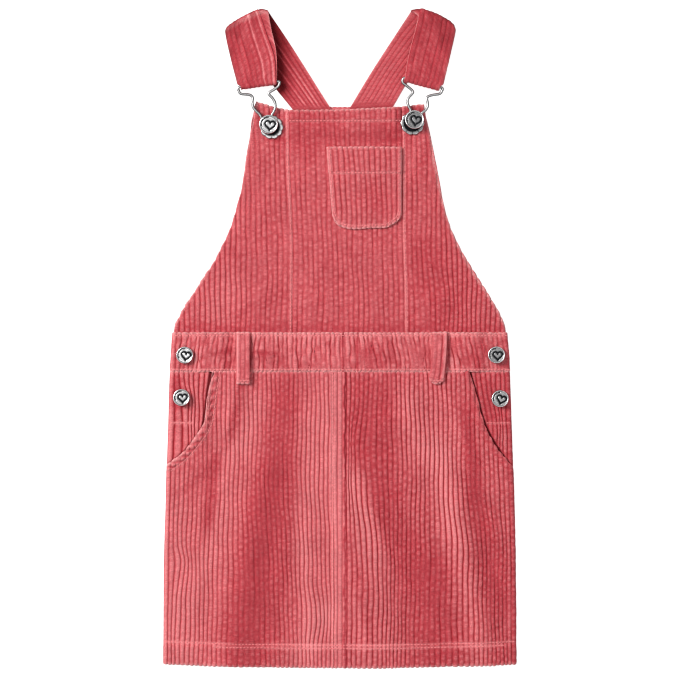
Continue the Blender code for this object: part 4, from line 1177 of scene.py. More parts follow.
def pile_group():
    """Colour, roughness and fine relief of the pile, from the height on the wale and the way along it, with
    painted light and shade, painted sheen and wear.
    """
    inputs = {
        "Wale": 0.0,
        "Along": 0.0,
        "Pile": 1.0,
        "Worn": 0.0,
        "Nap": 0.0,
        "Clear": 0.5,
        "Worn Colour": (0.9, 0.4, 0.4, 1.0),
        "Crest Colour": (0.8, 0.2, 0.2, 1.0),
        "Body Colour": (0.6, 0.1, 0.1, 1.0),
        "Valley Colour": (0.3, 0.02, 0.03, 1.0),
        "Deep Colour": (0.45, 0.03, 0.05, 1.0),
        "Mottle": 1.0,
    }
    tree, wires, given, target = new_group("Pile", "ShaderNodeTree", inputs, FINISH)
    wale, along, pile, worn, nap, clear = list(given.values())[:6]
    lane = wires.math("FLOOR", wale) * 11.7
    beads = wires.noise(wires.vector(lane, along / 2.2), 2.0, 0.6)
    tufts = wires.noise(wires.vector(wale * 2.1, along / 1.7, 4.0), 2.0, 0.6)
    clouds = wires.noise(wires.vector(wale / 5.0, along / 26.0, 8.0), 2.0, 0.55)
    fibres = wires.noise(wires.vector(wale * 5.0, along, 2.0), 3.0, 0.65)
    spots = wires.noise(wires.vector(wale * 1.25, along / 4.2, 9.0), 2.0, 0.55)
    # Valley, body and crest colours follow the pile's height: the pile's own tone, with painted shade in the
    # valleys and painted highlight on the crests
    low = wires.span(pile, 0.1, 0.6, smooth=True)
    high = wires.span(pile, 0.55, 0.95, smooth=True)
    mottle = wires.span(tufts, 0.36, 0.64) * 0.5 + wires.span(beads, 0.4, 0.6) * given["Mottle"]
    light = high * wires.span(mottle, 0.0, 1.2, wires.span(clear, 0.1, 0.9, 0.05, 0.55), 1.0)
    haze = wires.span(spots, 0.42, 0.66) * wires.span(clear, 0.1, 0.8, 0.2, 0.0)
    thin = worn * wires.span(tufts, 0.3, 0.6, 0.35, 0.9)
    # painted sheen where the painted light is bright
    painted_sheen = wires.span(nap, -0.1, 0.5, 0.0, 0.52) * wires.span(pile, 0.2, 0.8)
    # the worn colour lays worn pile and the painted sheen; the deep and valley colours lay painted shade
    # where the painted light is dark
    colour = given["Valley Colour"]
    for share, over in (
        (low, "Body Colour"),
        (light, "Crest Colour"),
        (haze, "Crest Colour"),
        (thin, "Worn Colour"),
        (painted_sheen, "Worn Colour"),
        (wires.span(nap, -0.4, 0.0, 0.6, 0.0), "Deep Colour"),
        (wires.span(nap, -0.85, -0.4, 0.9, 0.0), "Valley Colour"),
    ):
        colour = wires.blend(share, colour, given[over])
    # random tone, times the painted light and shade
    tone = wires.span(fibres, 0.3, 0.7, 0.74, 1.24) * (nap * 0.45 + 1.0)
    tone = tone * wires.span(clouds, 0.3, 0.7, 0.93, 1.07) * wires.span(spots, 0.32, 0.68, 0.96, 1.04)
    wires.put(target["Colour"], wires.blend(1.0, colour, wires.vector(tone, tone, tone), "MULTIPLY"))
    wires.put(target["Roughness"], wires.span(pile, 0.0, 1.0, 0.98, 0.82))
    wires.put(target["Height"], tufts * 0.6 + fibres * 0.5)
    return tree


def wear_and_shade_group():
    """Dark patina in the hollows of cast metal, painted shade under the buttons, the painted darker sides of
    the wire, and fine scratches on its rims.
    """
    inputs = {
        "Hollow": 0.0,
        "Metal Colour": (0.7, 0.7, 0.7, 1.0),
        "Patina Colour": (0.05, 0.05, 0.05, 1.0),
        "Polish": 0.2,
    }
    tree, wires, given, target = new_group("Metal wear", "ShaderNodeTree", inputs, FINISH)
    place = wires.node("ShaderNodeTexCoord").outputs["Object"]
    blotch = wires.noise(place, 3.0, 0.6, scale=900.0)
    scratch = wires.noise(place, 2.0, 0.7, scale=3800.0)
    dark = given["Hollow"] + wires.span(blotch, 0.45, 0.75, 0.0, 0.18)
    wires.put(target["Colour"], wires.blend(dark, given["Metal Colour"], given["Patina Colour"]))
    wires.put(target["Roughness"], scratch * 0.12 + (dark * 0.35 + given["Polish"]))
    wires.put(target["Height"], scratch)
    return tree


SHADER_GROUPS = {"Pile": pile_group, "Metal wear": wear_and_shade_group}


def shader_group(wires, name, values):
    """A shared effect placed in a material with its own values: returns its outputs."""
    tree = bpy.data.node_groups.get(name) or SHADER_GROUPS[name]()
    return wires.node("ShaderNodeGroup", values, node_tree=tree).outputs


def attribute(wires, label):
    return wires.node("ShaderNodeAttribute", attribute_name=label).outputs["Fac"]


def new_material(name, **sockets):
    """A material, the wires of its tree and its Principled shader, with plain values on its sockets."""
    material = bpy.data.materials.new(name)
    material.use_nodes = True
    shader = material.node_tree.nodes["Principled BSDF"]
    for key, value in sockets.items():
        shader.inputs[key.replace("_", " ")].default_value = value
    return material, Wires(material.node_tree), shader


def lay_finish(wires, shader, finish, strength, distance):
    """Joins a colour, a roughness and a height to a shader, with the height as fine relief."""
    colour, roughness, height = finish
    bump = wires.node("ShaderNodeBump", {"Strength": strength, "Distance": distance, "Height": height})
    wires.put(shader.inputs["Base Color"], colour)
    wires.put(shader.inputs["Roughness"], roughness)
    wires.put(shader.inputs["Normal"], bump.outputs[0])


def opaque(colour, share=1.0):
    """A colour for a node's socket, darkened to a share."""
    return (*[value * share for value in colour], 1.0)


PILE_MARKS = ("Wale", "Along", "Pile", "Worn", "Nap", "Clear")


def corduroy():
    made = bpy.data.materials.get("Coral corduroy")
    if made:
        return made
    cloth = bpy.context.scene.pinafore_cloth
    made, wires, shader = new_material(
        "Coral corduroy",
        Sheen_Weight=0.35,
        Sheen_Roughness=0.4,
        Sheen_Tint=(1.0, 0.62, 0.64, 1.0),
        Specular_IOR_Level=0.15,
    )
    values = {label: attribute(wires, label.lower()) for label in PILE_MARKS}
    for part in ("worn", "crest", "body", "valley", "deep"):
        values[f"{part.title()} Colour"] = opaque(getattr(cloth, f"{part}_colour"))
    lay_finish(wires, shader, shader_group(wires, "Pile", values), 0.6, 0.0003)
    return made


def thread():
    made = bpy.data.materials.get("Coral thread")
    if made:
        return made
    colour = bpy.context.scene.pinafore_sewing.thread_colour
    made, wires, shader = new_material("Coral thread", Specular_IOR_Level=0.1)
    twist = wires.noise(wires.node("ShaderNodeTexCoord").outputs["Object"], 2.0, 0.6, scale=2600.0)
    strands = wires.blend(wires.span(twist, 0.35, 0.6), opaque(colour, 0.85), opaque(colour))
    lay_finish(wires, shader, (strands, wires.span(twist, 0.3, 0.7, 0.55, 0.8), twist), 0.5, 0.0001)
    return made


def silver():
    made = bpy.data.materials.get("Antique silver")
    if made:
        return made
    metal = bpy.context.scene.pinafore_metal
    made, wires, shader = new_material("Antique silver", Metallic=1.0)
    # patina in the hollows, with painted shade and painted reflection
    values = {
        "Hollow": attribute(wires, "hollow"),
        "Metal Colour": opaque(metal.metal_colour),
        "Patina Colour": opaque(metal.patina_colour),
        "Polish": metal.polish,
    }
    lay_finish(wires, shader, shader_group(wires, "Metal wear", values), 0.15, 0.0001)
    return made


# Sewing


def stitches(piece, name=None):
    """The stitch rows of a piece, on its pressed pile."""
    sewing = bpy.context.scene.pinafore_sewing
    name = name or f"{piece.name}_stitches"
    lines = []
    for row in piece.sewing:
        x, y = spread(row, 1.2)
        wall = piece.inside(x, y) + piece.wall(x, y) - (RIB_DEPTH - RIB_CREST)
        z = wall - PRESS_DIP * (1.0 - PRESSED) + RIB_DEPTH * PRESSED + THREAD_SEAT
        lines.append(np.stack((x, y, z), -1))
    values = {
        "Stitch Length": sewing.stitch_length,
        "Gap": sewing.stitch_gap,
        "Thread Radius": sewing.thread_radius,
        "Material": thread(),
    }
    made = run_tree(line_object(name, lines), "stitch", values)
    made.data.shade_smooth()
    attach(made, "root")
    return made


def spread(row, step):
    """Points about a step apart along a line of points."""
    row = np.asarray(row, float)
    lengths = np.concatenate(([0.0], np.cumsum(np.hypot(*np.diff(row, axis=0).T))))
    count = max(2, int(lengths[-1] / step) + 1)
    places = np.linspace(0.0, lengths[-1], count)
    return np.interp(places, lengths, row[:, 0]), np.interp(places, lengths, row[:, 1])


# Cloth pieces

# The band and the loops have long streaks of pile, and fuller valleys
STREAKY_CLUMPS = 2.6
STREAKY_FILL = 0.7


def dress(made, node, size, stitched=(), streaky=False):
    """Ribs, material and body of a cloth piece that stands for a node. The size given, its cut (width,
    length, area), is not used.
    """
    cloth = bpy.context.scene.pinafore_cloth
    made.name = f"{node}_base"
    values = {
        "Rib Height": cloth.rib_height,
        "Roundness": cloth.roundness,
        "Clump Length": cloth.clump_length / MM * (STREAKY_CLUMPS if streaky else 1.0),
        "Clump Amount": cloth.clump_amount,
        "Valley Fill": STREAKY_FILL if streaky else cloth.valley_fill,
        "Material": corduroy(),
    }
    made = run_tree(made, "wales", values)
    made.name = f"{node}_cloth"
    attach(made, "root")
    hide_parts(node)
    return made


def bib_room(x, y, low, high):
    """Room to the bib's free edge: its top and the armhole."""
    line = [(place, float(bib_edge(place))) for place in np.linspace(-BIB_TIP_X, BIB_TIP_X, 160)]
    return np.minimum(line_distance(x, y, line), (y - low) * 2.0 + 0.35)


def bib_ends(x):
    return level(WAIST_TOP, x), bib_edge(x)


def bib_wall(x, y):
    return level(WALL, x)


def hem_wall(hem_y):
    """The wall of a piece whose top is turned over, down to a height."""

    def wall(x, y):
        return WALL + HEM_EXTRA * ease(hem_y - 0.5, hem_y + 1.5, y)

    return wall


def hem_breaks(hem_y):
    """Heights of the rows of points on both sides of a hem's step."""
    return hem_y - 0.6, hem_y + 1.5


def same_x(place, y):
    return place + 0.0 * y


LEFT_SEAM_X = PRINCESS_LEFT[-1][1]
RIGHT_SEAM_X = PRINCESS_RIGHT[-1][1]
BIB_HEM = [(LEFT_SEAM_X + 1.0, BIB_HEM_Y), (RIGHT_SEAM_X - 1.0, BIB_HEM_Y + 0.3)]


def beside_seam(seam, offset, low, high):
    return [(float(seam(y)) + offset, float(y)) for y in np.linspace(low, high, 24)]


PRINCESS_LEFT_STITCH = beside_seam(princess_left_at, -1.9, 7.0, 206.0)
PRINCESS_RIGHT_STITCH = beside_seam(princess_right_at, 1.7, 7.0, 206.0)


def bib_tone(x, y):
    """The pile is paler along the two long seams."""
    left = x - princess_left_at(y)
    right = x - princess_right_at(y)
    tone = -0.025 + 0.22 * hump(left + 2.0, 1.3) * (0.35 + 0.65 * ease(110.0, 150.0, y))
    return tone + 0.2 * hump(right - 1.4, 1.1)


def bib_clear(x, y):
    """The wales of the bib are flattened in the middle and stand clear at the armholes."""
    beside = ease(70.0, 112.0, np.abs(x)) * fall(120.0, 190.0, y)
    return 0.05 + 0.5 * beside + 0.25 * ease(185.0, 205.0, y)


# Panels of the bib: name, wall, stitch row, and where each starts and ends at the top
BIB_PANELS = (
    ("bib_side_left", bib_wall, PRINCESS_LEFT_STITCH, -BIB_TIP_X, LEFT_SEAM_X),
    ("bib_centre", hem_wall(BIB_HEM_Y), BIB_HEM, LEFT_SEAM_X, RIGHT_SEAM_X),
    ("bib_side_right", bib_wall, PRINCESS_RIGHT_STITCH, RIGHT_SEAM_X, BIB_TIP_X),
)


def make_bib():
    for seed, (name, wall, row, start, end) in enumerate(BIB_PANELS, 11):
        piece = Piece(name, bib_inside, wall, bib_x, bib_ends, [row], bib_tone, bib_clear)
        breaks = hem_breaks(BIB_HEM_Y) if name == "bib_centre" else ()
        made, size = make_panel(piece, start, end, bib_room, breaks=breaks, seed=seed)
        dress(made, name, size, [stitches(piece)])


def chest_pocket_ends(place):
    return pocket_foot_at(place), level(POCKET_TOP_Y, place)


def chest_pocket_outline(inset):
    """The pocket's sides and foot, an inset inside its edge: down the left, along the foot, up the right."""
    places = np.linspace(POCKET_LEFT_X, POCKET_RIGHT_X, 40)
    foot = pocket_foot_at(places)
    middle = (POCKET_LEFT_X + POCKET_RIGHT_X) / 2
    half = (POCKET_RIGHT_X - POCKET_LEFT_X) / 2
    share = (half - inset) / half
    x = middle + (chest_pocket_x(places, foot) - middle) * share
    left = chest_pocket_x(POCKET_LEFT_X, np.array([POCKET_TOP_Y])) + inset
    line = [(float(left[0]), POCKET_TOP_Y - 0.8)]
    line += list(zip(x, foot + inset))
    line.append((POCKET_RIGHT_X - inset, POCKET_TOP_Y - 0.8))
    return line


def pocket_room(x, y, low, high):
    line = [(POCKET_LEFT_X, POCKET_TOP_Y)] + chest_pocket_outline(0.0) + [(POCKET_RIGHT_X, POCKET_TOP_Y)]
    line.append((POCKET_LEFT_X, POCKET_TOP_Y))
    return line_distance(x, y, line)


def make_chest_pocket():
    hem = [(POCKET_LEFT_X + 4.4, POCKET_HEM_Y), (POCKET_RIGHT_X - 3.0, POCKET_HEM_Y + 0.6)]
    plan = (pocket_inside, hem_wall(POCKET_HEM_Y), chest_pocket_x, chest_pocket_ends)
    piece = Piece("bib_pocket", *plan, [chest_pocket_outline(2.4), hem], 0.02, 0.35)
    breaks = hem_breaks(POCKET_HEM_Y)
    made, size = make_panel(piece, POCKET_LEFT_X, POCKET_RIGHT_X, pocket_room, POCKET_WALES, breaks, 21)
    dress(made, piece.name, size, [stitches(piece)])


def band_wall(x, y):
    return level(BAND_WALL, x)


def band_ends(place):
    return level(WAIST_BOTTOM, place), level(WAIST_TOP, place)


# Pressed lines in the middle of the band: (x, depth of tone)
BAND_LINES = ((2.9, 0.75), (16.2, 0.5))
BAND_STITCHES = (((-153.0, 1.9), (153.0, 1.9)), ((-155.5, -29.7), (155.5, -29.7)))


def band_tone(x, y):
    """Uneven streaks of brushed pile, the finer ones narrower than a wale, and two pressed lines."""
    tone = 0.075 + 0.07 * drift(91, np.floor(x / 2.7), y, 12.0) + 0.09 * drift(92, np.floor(x / 8.0), y, 20.0)
    for line_x, depth in BAND_LINES:
        tone = tone - depth * hump(x - line_x - 0.3 * np.sin(y / 5.0), 0.75)
    return tone


def make_waistband():
    plan = (band_inside, band_wall, band_x, band_ends)
    piece = Piece("waistband_front", *plan, BAND_STITCHES, band_tone, 0.1)
    side = SIDE_AT_WAIST
    made, size = make_panel(piece, -side, side, end_room, BAND_WALES, seed=31, wander=0.65)
    dress(made, piece.name, size, [stitches(piece, "waistband_stitches")], streaky=True)


def skirt_ends(place):
    return hem_at(skirt_x(place, HEM_Y)), pocket_top(place)


def puffs(x, y):
    """Puffs along the hip-pocket edge, 1 on each."""
    along = 0.45 * np.abs(x) - 0.89 * y + 0.8 * np.abs(pocket_distance(x, y))
    return 0.5 + 0.5 * np.cos(2.0 * np.pi * along / PUFF_STEP + 0.8 * np.sin(along / 9.0))


def skirt_wall(x, y):
    hem_line = HEM_Y + HEM_DEPTH
    room = np.abs(pocket_distance(x, y))
    swell = ease(0.0, 1.4, room) * fall(PUFF_END - 2.0, PUFF_END, room)
    puff = np.where(x < 0.0, PUFF[-1], PUFF[1]) * puffs(x, y) * swell
    folded = FRONT_STRIP_EXTRA * ease(-FRONT_STRIP - 1.0, -FRONT_STRIP, x - FRONT_SEAM_X)
    folded = folded * fall(SEAM_EDGE_X - 0.9, SEAM_EDGE_X, x)
    return WALL + folded + puff + HEM_EXTRA * fall(hem_line - 1.5, hem_line + 0.5, y)


def skirt_tone(x, y):
    """A pale strip and a dark line of painted shade along the middle seam, and painted highlight on the puffs
    along the hip-pocket edges, with painted shade between them.
    """
    waver = 0.6 * np.sin(y / 7.0) + 0.4 * np.sin(y / 2.3)
    line = hump(x - SEAM_EDGE_X - waver, 0.85) * mix(0.5, 0.85, ease(-150.0, -90.0, y))
    edge = fall(PUFF_END - 1.0, PUFF_END + 0.5, np.abs(pocket_distance(x, y)))
    gain, start = (np.where(x < 0.0, left, right) for left, right in zip(PUFF_TONE[-1], PUFF_TONE[1]))
    return 0.03 + 0.02 * seam_strip(x) - line + edge * (gain * puffs(x, y) + start)


def beside_pocket(side, inset):
    """A line beside the hip-pocket edge, an inset inside it."""
    line = np.array(POCKET_LINE[side])
    way = np.gradient(line, axis=0)
    way /= np.hypot(way[:, 0], way[:, 1])[:, None]
    inward = np.stack((side * way[:, 1], -side * way[:, 0]), -1)
    moved = line + inward * inset
    return [tuple(point) for point in moved if point[1] < WAIST_BOTTOM - 1.0 and abs(point[0]) < 157.5]


def hem_row(start, end, rise):
    places = np.linspace(start, end, 24)
    return list(zip(places, hem_at(places) + HEM_DEPTH + rise))


SKIRT = (skirt_inside, skirt_wall, skirt_x, skirt_ends)
SKIRT_SEWING = {
    "left": [
        hem_row(-160.0, 1.0, 0.0),
        hem_row(-116.0, 1.0, -3.0),
        [(FRONT_SEAM_X - FRONT_STRIP, -33.0), (FRONT_SEAM_X - FRONT_STRIP, -301.0)],
        beside_pocket(-1, PUFF_END + 0.5),
    ],
    "right": [hem_row(4.0, 160.0, 0.0), hem_row(4.0, 150.0, -3.0)],
}


def skirt_room(x, y, low, high):
    beside = np.abs(pocket_distance(x, y))
    edge = beside - 1.3 * (1.0 - puffs(x, y)) * (beside < PUFF_END)
    return np.minimum(y - low, np.minimum(high - y, edge))


def make_skirt_front():
    hem_line = HEM_Y + HEM_DEPTH
    breaks = (hem_line - 1.5, hem_line + 0.5)
    for seed, (which, sewing) in enumerate(SKIRT_SEWING.items(), 41):
        piece = Piece(f"skirt_front_{which}", *SKIRT, sewing, skirt_tone, 0.3)
        side = side_of(piece)
        start, end = sorted((side * SIDE_AT_WAIST, FRONT_SEAM_X))
        made, size = make_panel(piece, start, end, skirt_room, SKIRT_WALES[side], breaks, seed)
        dress(made, piece.name, size, [stitches(piece)])


def facing_ends(place):
    low = []
    for value in np.atleast_1d(place):
        side = -1 if value < 0 else 1
        last = POCKET_CURVE[side][-1][0]
        low.append(float(pocket_curve_at[side](min(abs(value) + POCKET_TUCK, last))) - TUCK_DROP)
    return np.array(low), level(WAIST_BOTTOM, place)


# Short stitch row across a pocket facing
FACING_BAR_X = (136.0, 155.0)
FACING_BAR_Y = -78.6


def make_pocket_facings():
    for seed, (name, side) in enumerate((("pocket_facing_left", -1), ("pocket_facing_right", 1)), 51):
        inner = POCKET_CURVE[side][0][0] - POCKET_TUCK
        start, end = sorted((side * inner, side * SIDE_AT_WAIST))
        bar = [(side * x, FACING_BAR_Y) for x in FACING_BAR_X]
        piece = Piece(name, facing_inside, bib_wall, skirt_x, facing_ends, [bar], -0.07 * side, 0.55)
        made, size = make_panel(piece, start, end, end_room, seed=seed, wander=0.3)
        dress(made, name, size, [stitches(piece)])


def make_belt_loops():
    for seed, loop in enumerate(LOOPS, 61):
        width = loop.right - loop.left

        def x_at(place, y):
            return loop_x(loop, place, y)

        def ends(place):
            from_edge = np.minimum(place - loop.left, loop.right - place) / width
            foot = LOOP_BOTTOM_Y + loop.round * fall(0.0, 0.35, from_edge)
            return foot, level(LOOP_TOP_Y, place)

        def inside(x, y):
            share = np.clip((y - LOOP_BOTTOM_Y) / (LOOP_TOP_Y - LOOP_BOTTOM_Y), 0.0, 1.0)
            return mix(LOOP_SEAT_BOTTOM, LOOP_SEAT_TOP, share) + LOOP_ARCH * np.sin(np.pi * share)

        def wall(x, y):
            return level(LOOP_WALL - (RIB_CREST - STRAP_RIB), x)

        # a painted highlight down one wale
        def tone(x, y):
            return 0.03 + 0.4 * hump(x - loop_x(loop, loop.bright, y), 1.3)

        rows = []
        for y in (LOOP_TOP_Y - 1.5, LOOP_BOTTOM_Y + 2.6):
            places = np.linspace(loop.left + 1.2, loop.right - 1.2, 8)
            rows.append([(float(x_at(place, y)), y) for place in places])
        piece = Piece(loop.name, inside, wall, x_at, ends, rows, tone, 0.1)
        made, size = make_panel(piece, loop.left, loop.right, end_room, wales=LOOP_WALES, seed=seed, step=1.2)
        dress(made, loop.name, size, [stitches(piece)], streaky=True)


def make_back_panel(name, start, end, x_at, ends, thin):
    """A back panel lies face down: its wales are on the underside, and stop at the plane that it rests on."""
    places, number = wale_columns(start, end)
    low, high = ends(places)
    y = rows_between(low, high, (), BACK_ROW_STEP)
    number = np.broadcast_to(number, y.shape)
    x = x_at(places[None, :], y)
    keep = list(range(0, len(places), len(WALE_SHARES)))
    depth = RIB_CREST + edge_roll(np.minimum(y - low, high - y), 0.5)
    outer = np.stack((x, y, depth), -1)[:, ::-1]
    inner = np.stack((x, y, BACK_WALL - thin(x, y)), -1)[:, keep][:, ::-1]
    keep = [len(places) - 1 - index for index in reversed(keep)]
    marks = {"wale": number[:, ::-1].copy(), "along": y[:, ::-1].copy()}
    for mark, value in (("rib", RIB_CREST / RIB_DEPTH * 0.98), ("worn", 0.0), ("nap", 0.0), ("clear", 0.5)):
        marks[mark] = level(value, y)
    made = shell(name, outer, inner, keep, marks)
    dress(made, name, flat_size(x, places, low, high))


def back_bib_ends(x):
    corner = ARMHOLE[0][0] - BACK_INSET
    edge = back_top_at(np.abs(x))
    armhole = np.minimum(edge, armhole_at(np.abs(x) + BACK_INSET))
    return level(WAIST_TOP, x), np.where(np.abs(x) > corner, armhole, edge)


def back_skirt_ends(place):
    return hem_at(skirt_x(place, HEM_Y)), level(WAIST_BOTTOM, place)


def make_back():
    tip = BIB_TIP_X - BACK_INSET
    side = SIDE_AT_WAIST
    make_back_panel("skirt_back", -side, side, skirt_x, back_skirt_ends, side_roll)
    make_back_panel("waistband_back", -side, side, band_x, band_ends, side_roll)
    make_back_panel("bib_back", -tip, tip, same_x, back_bib_ends, lambda x, y: 0.0 * x)


# Straps


def ways(outer, inner, side):
    """The way along a line across a strap, and the way square to it, down the front."""
    along = np.array(inner) - outer
    along = along / np.hypot(*along)
    return along, np.array((along[1], -along[0])) * -side


class FoldFrame:
    """Plan coordinates measured from a strap's fold line: along it, and in from it."""

    def __init__(self, strap):
        self.origin = np.array(strap.fold_outer)
        self.along, self.inward = ways(self.origin, strap.fold_inner, strap.side)

    def rail(self, points):
        """Where a strap edge lies along the fold line, against the distance in from it."""
        offsets = np.array(points) - self.origin
        return smooth_curve(list(zip(offsets @ self.inward, offsets @ self.along)))

    def point(self, outer, inner, across, depth):
        along = mix(outer(depth), inner(depth), across)
        return self.origin + along[..., None] * self.along + np.asarray(depth)[..., None] * self.inward


def strap_across(wale, edge):
    """Share of the strap's width for a wale, where edge is the share that the strip starts at."""
    return np.where(wale <= STRAP_WALES, edge * wale / STRAP_WALES, mix(edge, 1.0, wale - STRAP_WALES))


def raised(plan, height):
    return np.concatenate((plan, np.broadcast_to(height, plan.shape[:-1])[..., None]), -1)


def strap_rows(strap, wale):
    """Rows of points on the strap's middle, with normals, thickness, and ribs on that face and the other."""
    fold = FoldFrame(strap)
    back_outer = fold.rail(strap.back_outer)
    back_inner = fold.rail(strap.back_inner)
    front_outer = fold.rail(strap.front_outer)
    front_inner = fold.rail(strap.front_inner)
    strip_at = smooth_curve(strap.strip)
    level_at = smooth_curve(
        ((0.0, STRAP_BASE_Z), (strap.clear_y, STRAP_BASE_Z), (236.0, STRAP_LOW_Z), (400.0, STRAP_LOW_Z))
    )
    even = strap_across(wale, STRAP_WALES / (STRAP_WALES + 1))
    at_fold = strap_across(wale, strap.fold_edge)
    out = STRAP_THICK / 2 + STRAP_RIB
    recess = out - smooth_curve(strap.bow)(at_fold)
    bar_start = np.array(strap.end_outer)
    bar_end = np.array(strap.end_inner)
    beyond = ways(bar_start, bar_end, strap.side)[1]
    wrap_r = WIRE_R + LAYER_GAP + STRAP_THICK / 2
    bar_start = bar_start - beyond * (wrap_r + out)
    tuck = WRAP_TUCK / np.hypot(*(bar_end - bar_start))
    up_way = np.array((0.0, 0.0, 1.0))
    ones = np.ones_like(wale)
    rows = []

    def add(plan, height, normal, ribs, ribs_under, thick=STRAP_THICK):
        rows.append((raised(plan, height), normal, thick * ones, ribs * ones, ribs_under * ones))

    def front_point(share, depth):
        across = strap_across(wale, strip_at(share))
        tucked = mix(across, mix(tuck, 1.0, across), ease(0.93, 1.0, share))
        return fold.point(front_outer, front_inner, tucked, depth)

    def past_bar(depth):
        return (front_point(1.0, depth) - bar_start) @ beyond

    def depth_at(y):
        def past(depth):
            return fold.point(back_outer, back_inner, even, depth)[:, 1] - y

        return solve(past, recess, 130.0 * ones)

    start = recess + STRAP_BEND_R
    bar = solve(past_bar, start, 90.0 * ones)
    # up the back to the fold
    depths = [depth_at(y) for y in np.linspace(STRAP_BASE_Y, strap.clear_y, 6)]
    depths += [depth_at(strap.clear_y + STRAP_RIB_GROWTH * i / 3) for i in range(1, 4)]
    steps = math.ceil(float(np.max(depths[-1] - start)) / ROW_STEP)
    last = depths[-1]
    depths += [mix(last, start, i / steps) for i in range(1, steps)]
    for depth in depths:
        across = mix(even, at_fold, fall(start, start + 30.0, depth))
        plan = fold.point(back_outer, back_inner, across, depth)
        up = ease(strap.clear_y, strap.clear_y + STRAP_RIB_GROWTH, plan[:, 1])
        add(plan, level_at(plan[:, 1]), up_way, up, 0.0, mix(STRAP_BASE_THICK, STRAP_THICK, up))
    # round the fold
    turns = np.linspace(0.0, math.pi, TURN_ROWS)
    for turn in turns:
        depth = recess + STRAP_BEND_R * (1.0 - math.sin(turn))
        height = STRAP_LOW_Z + STRAP_BEND_R * (1.0 - math.cos(turn))
        normal = np.append(fold.inward * math.sin(turn), math.cos(turn))
        over = ease(0.5 * math.pi, math.pi, turn)
        plan = mix(fold.point(back_outer, back_inner, at_fold, depth), front_point(0.0, depth), over)
        add(plan, height, normal, fall(0.0, 0.3 * math.pi, turn), ease(0.2 * math.pi, 0.7 * math.pi, turn))
    # down the front to the bar
    low = STRAP_LOW_Z + 2 * STRAP_BEND_R
    steps = math.ceil(float(np.max(bar - start)) / ROW_STEP)
    for i in range(1, steps):
        share = i / steps
        plan = front_point(share, mix(start, bar, share))
        add(plan, mix(low, STRAP_BAR_Z, ease(0.0, 1.0, share)), -up_way, 0.0, 1.0)
    # round the bar, and a short way back under the front
    for turn in turns:
        height = STRAP_BAR_Z - wrap_r * (1.0 - math.cos(turn))
        normal = -np.append(beyond * math.sin(turn), math.cos(turn))
        plan = front_point(1.0, bar) + beyond * wrap_r * math.sin(turn)
        add(plan, height, normal, 0.0, fall(0.5 * math.pi, 0.9 * math.pi, turn))
    for i in range(1, 7):
        add(front_point(1.0, bar - STRAP_RETURN * i / 6), STRAP_BAR_Z - 2 * wrap_r, up_way, 0.0, 0.0)
    return rows


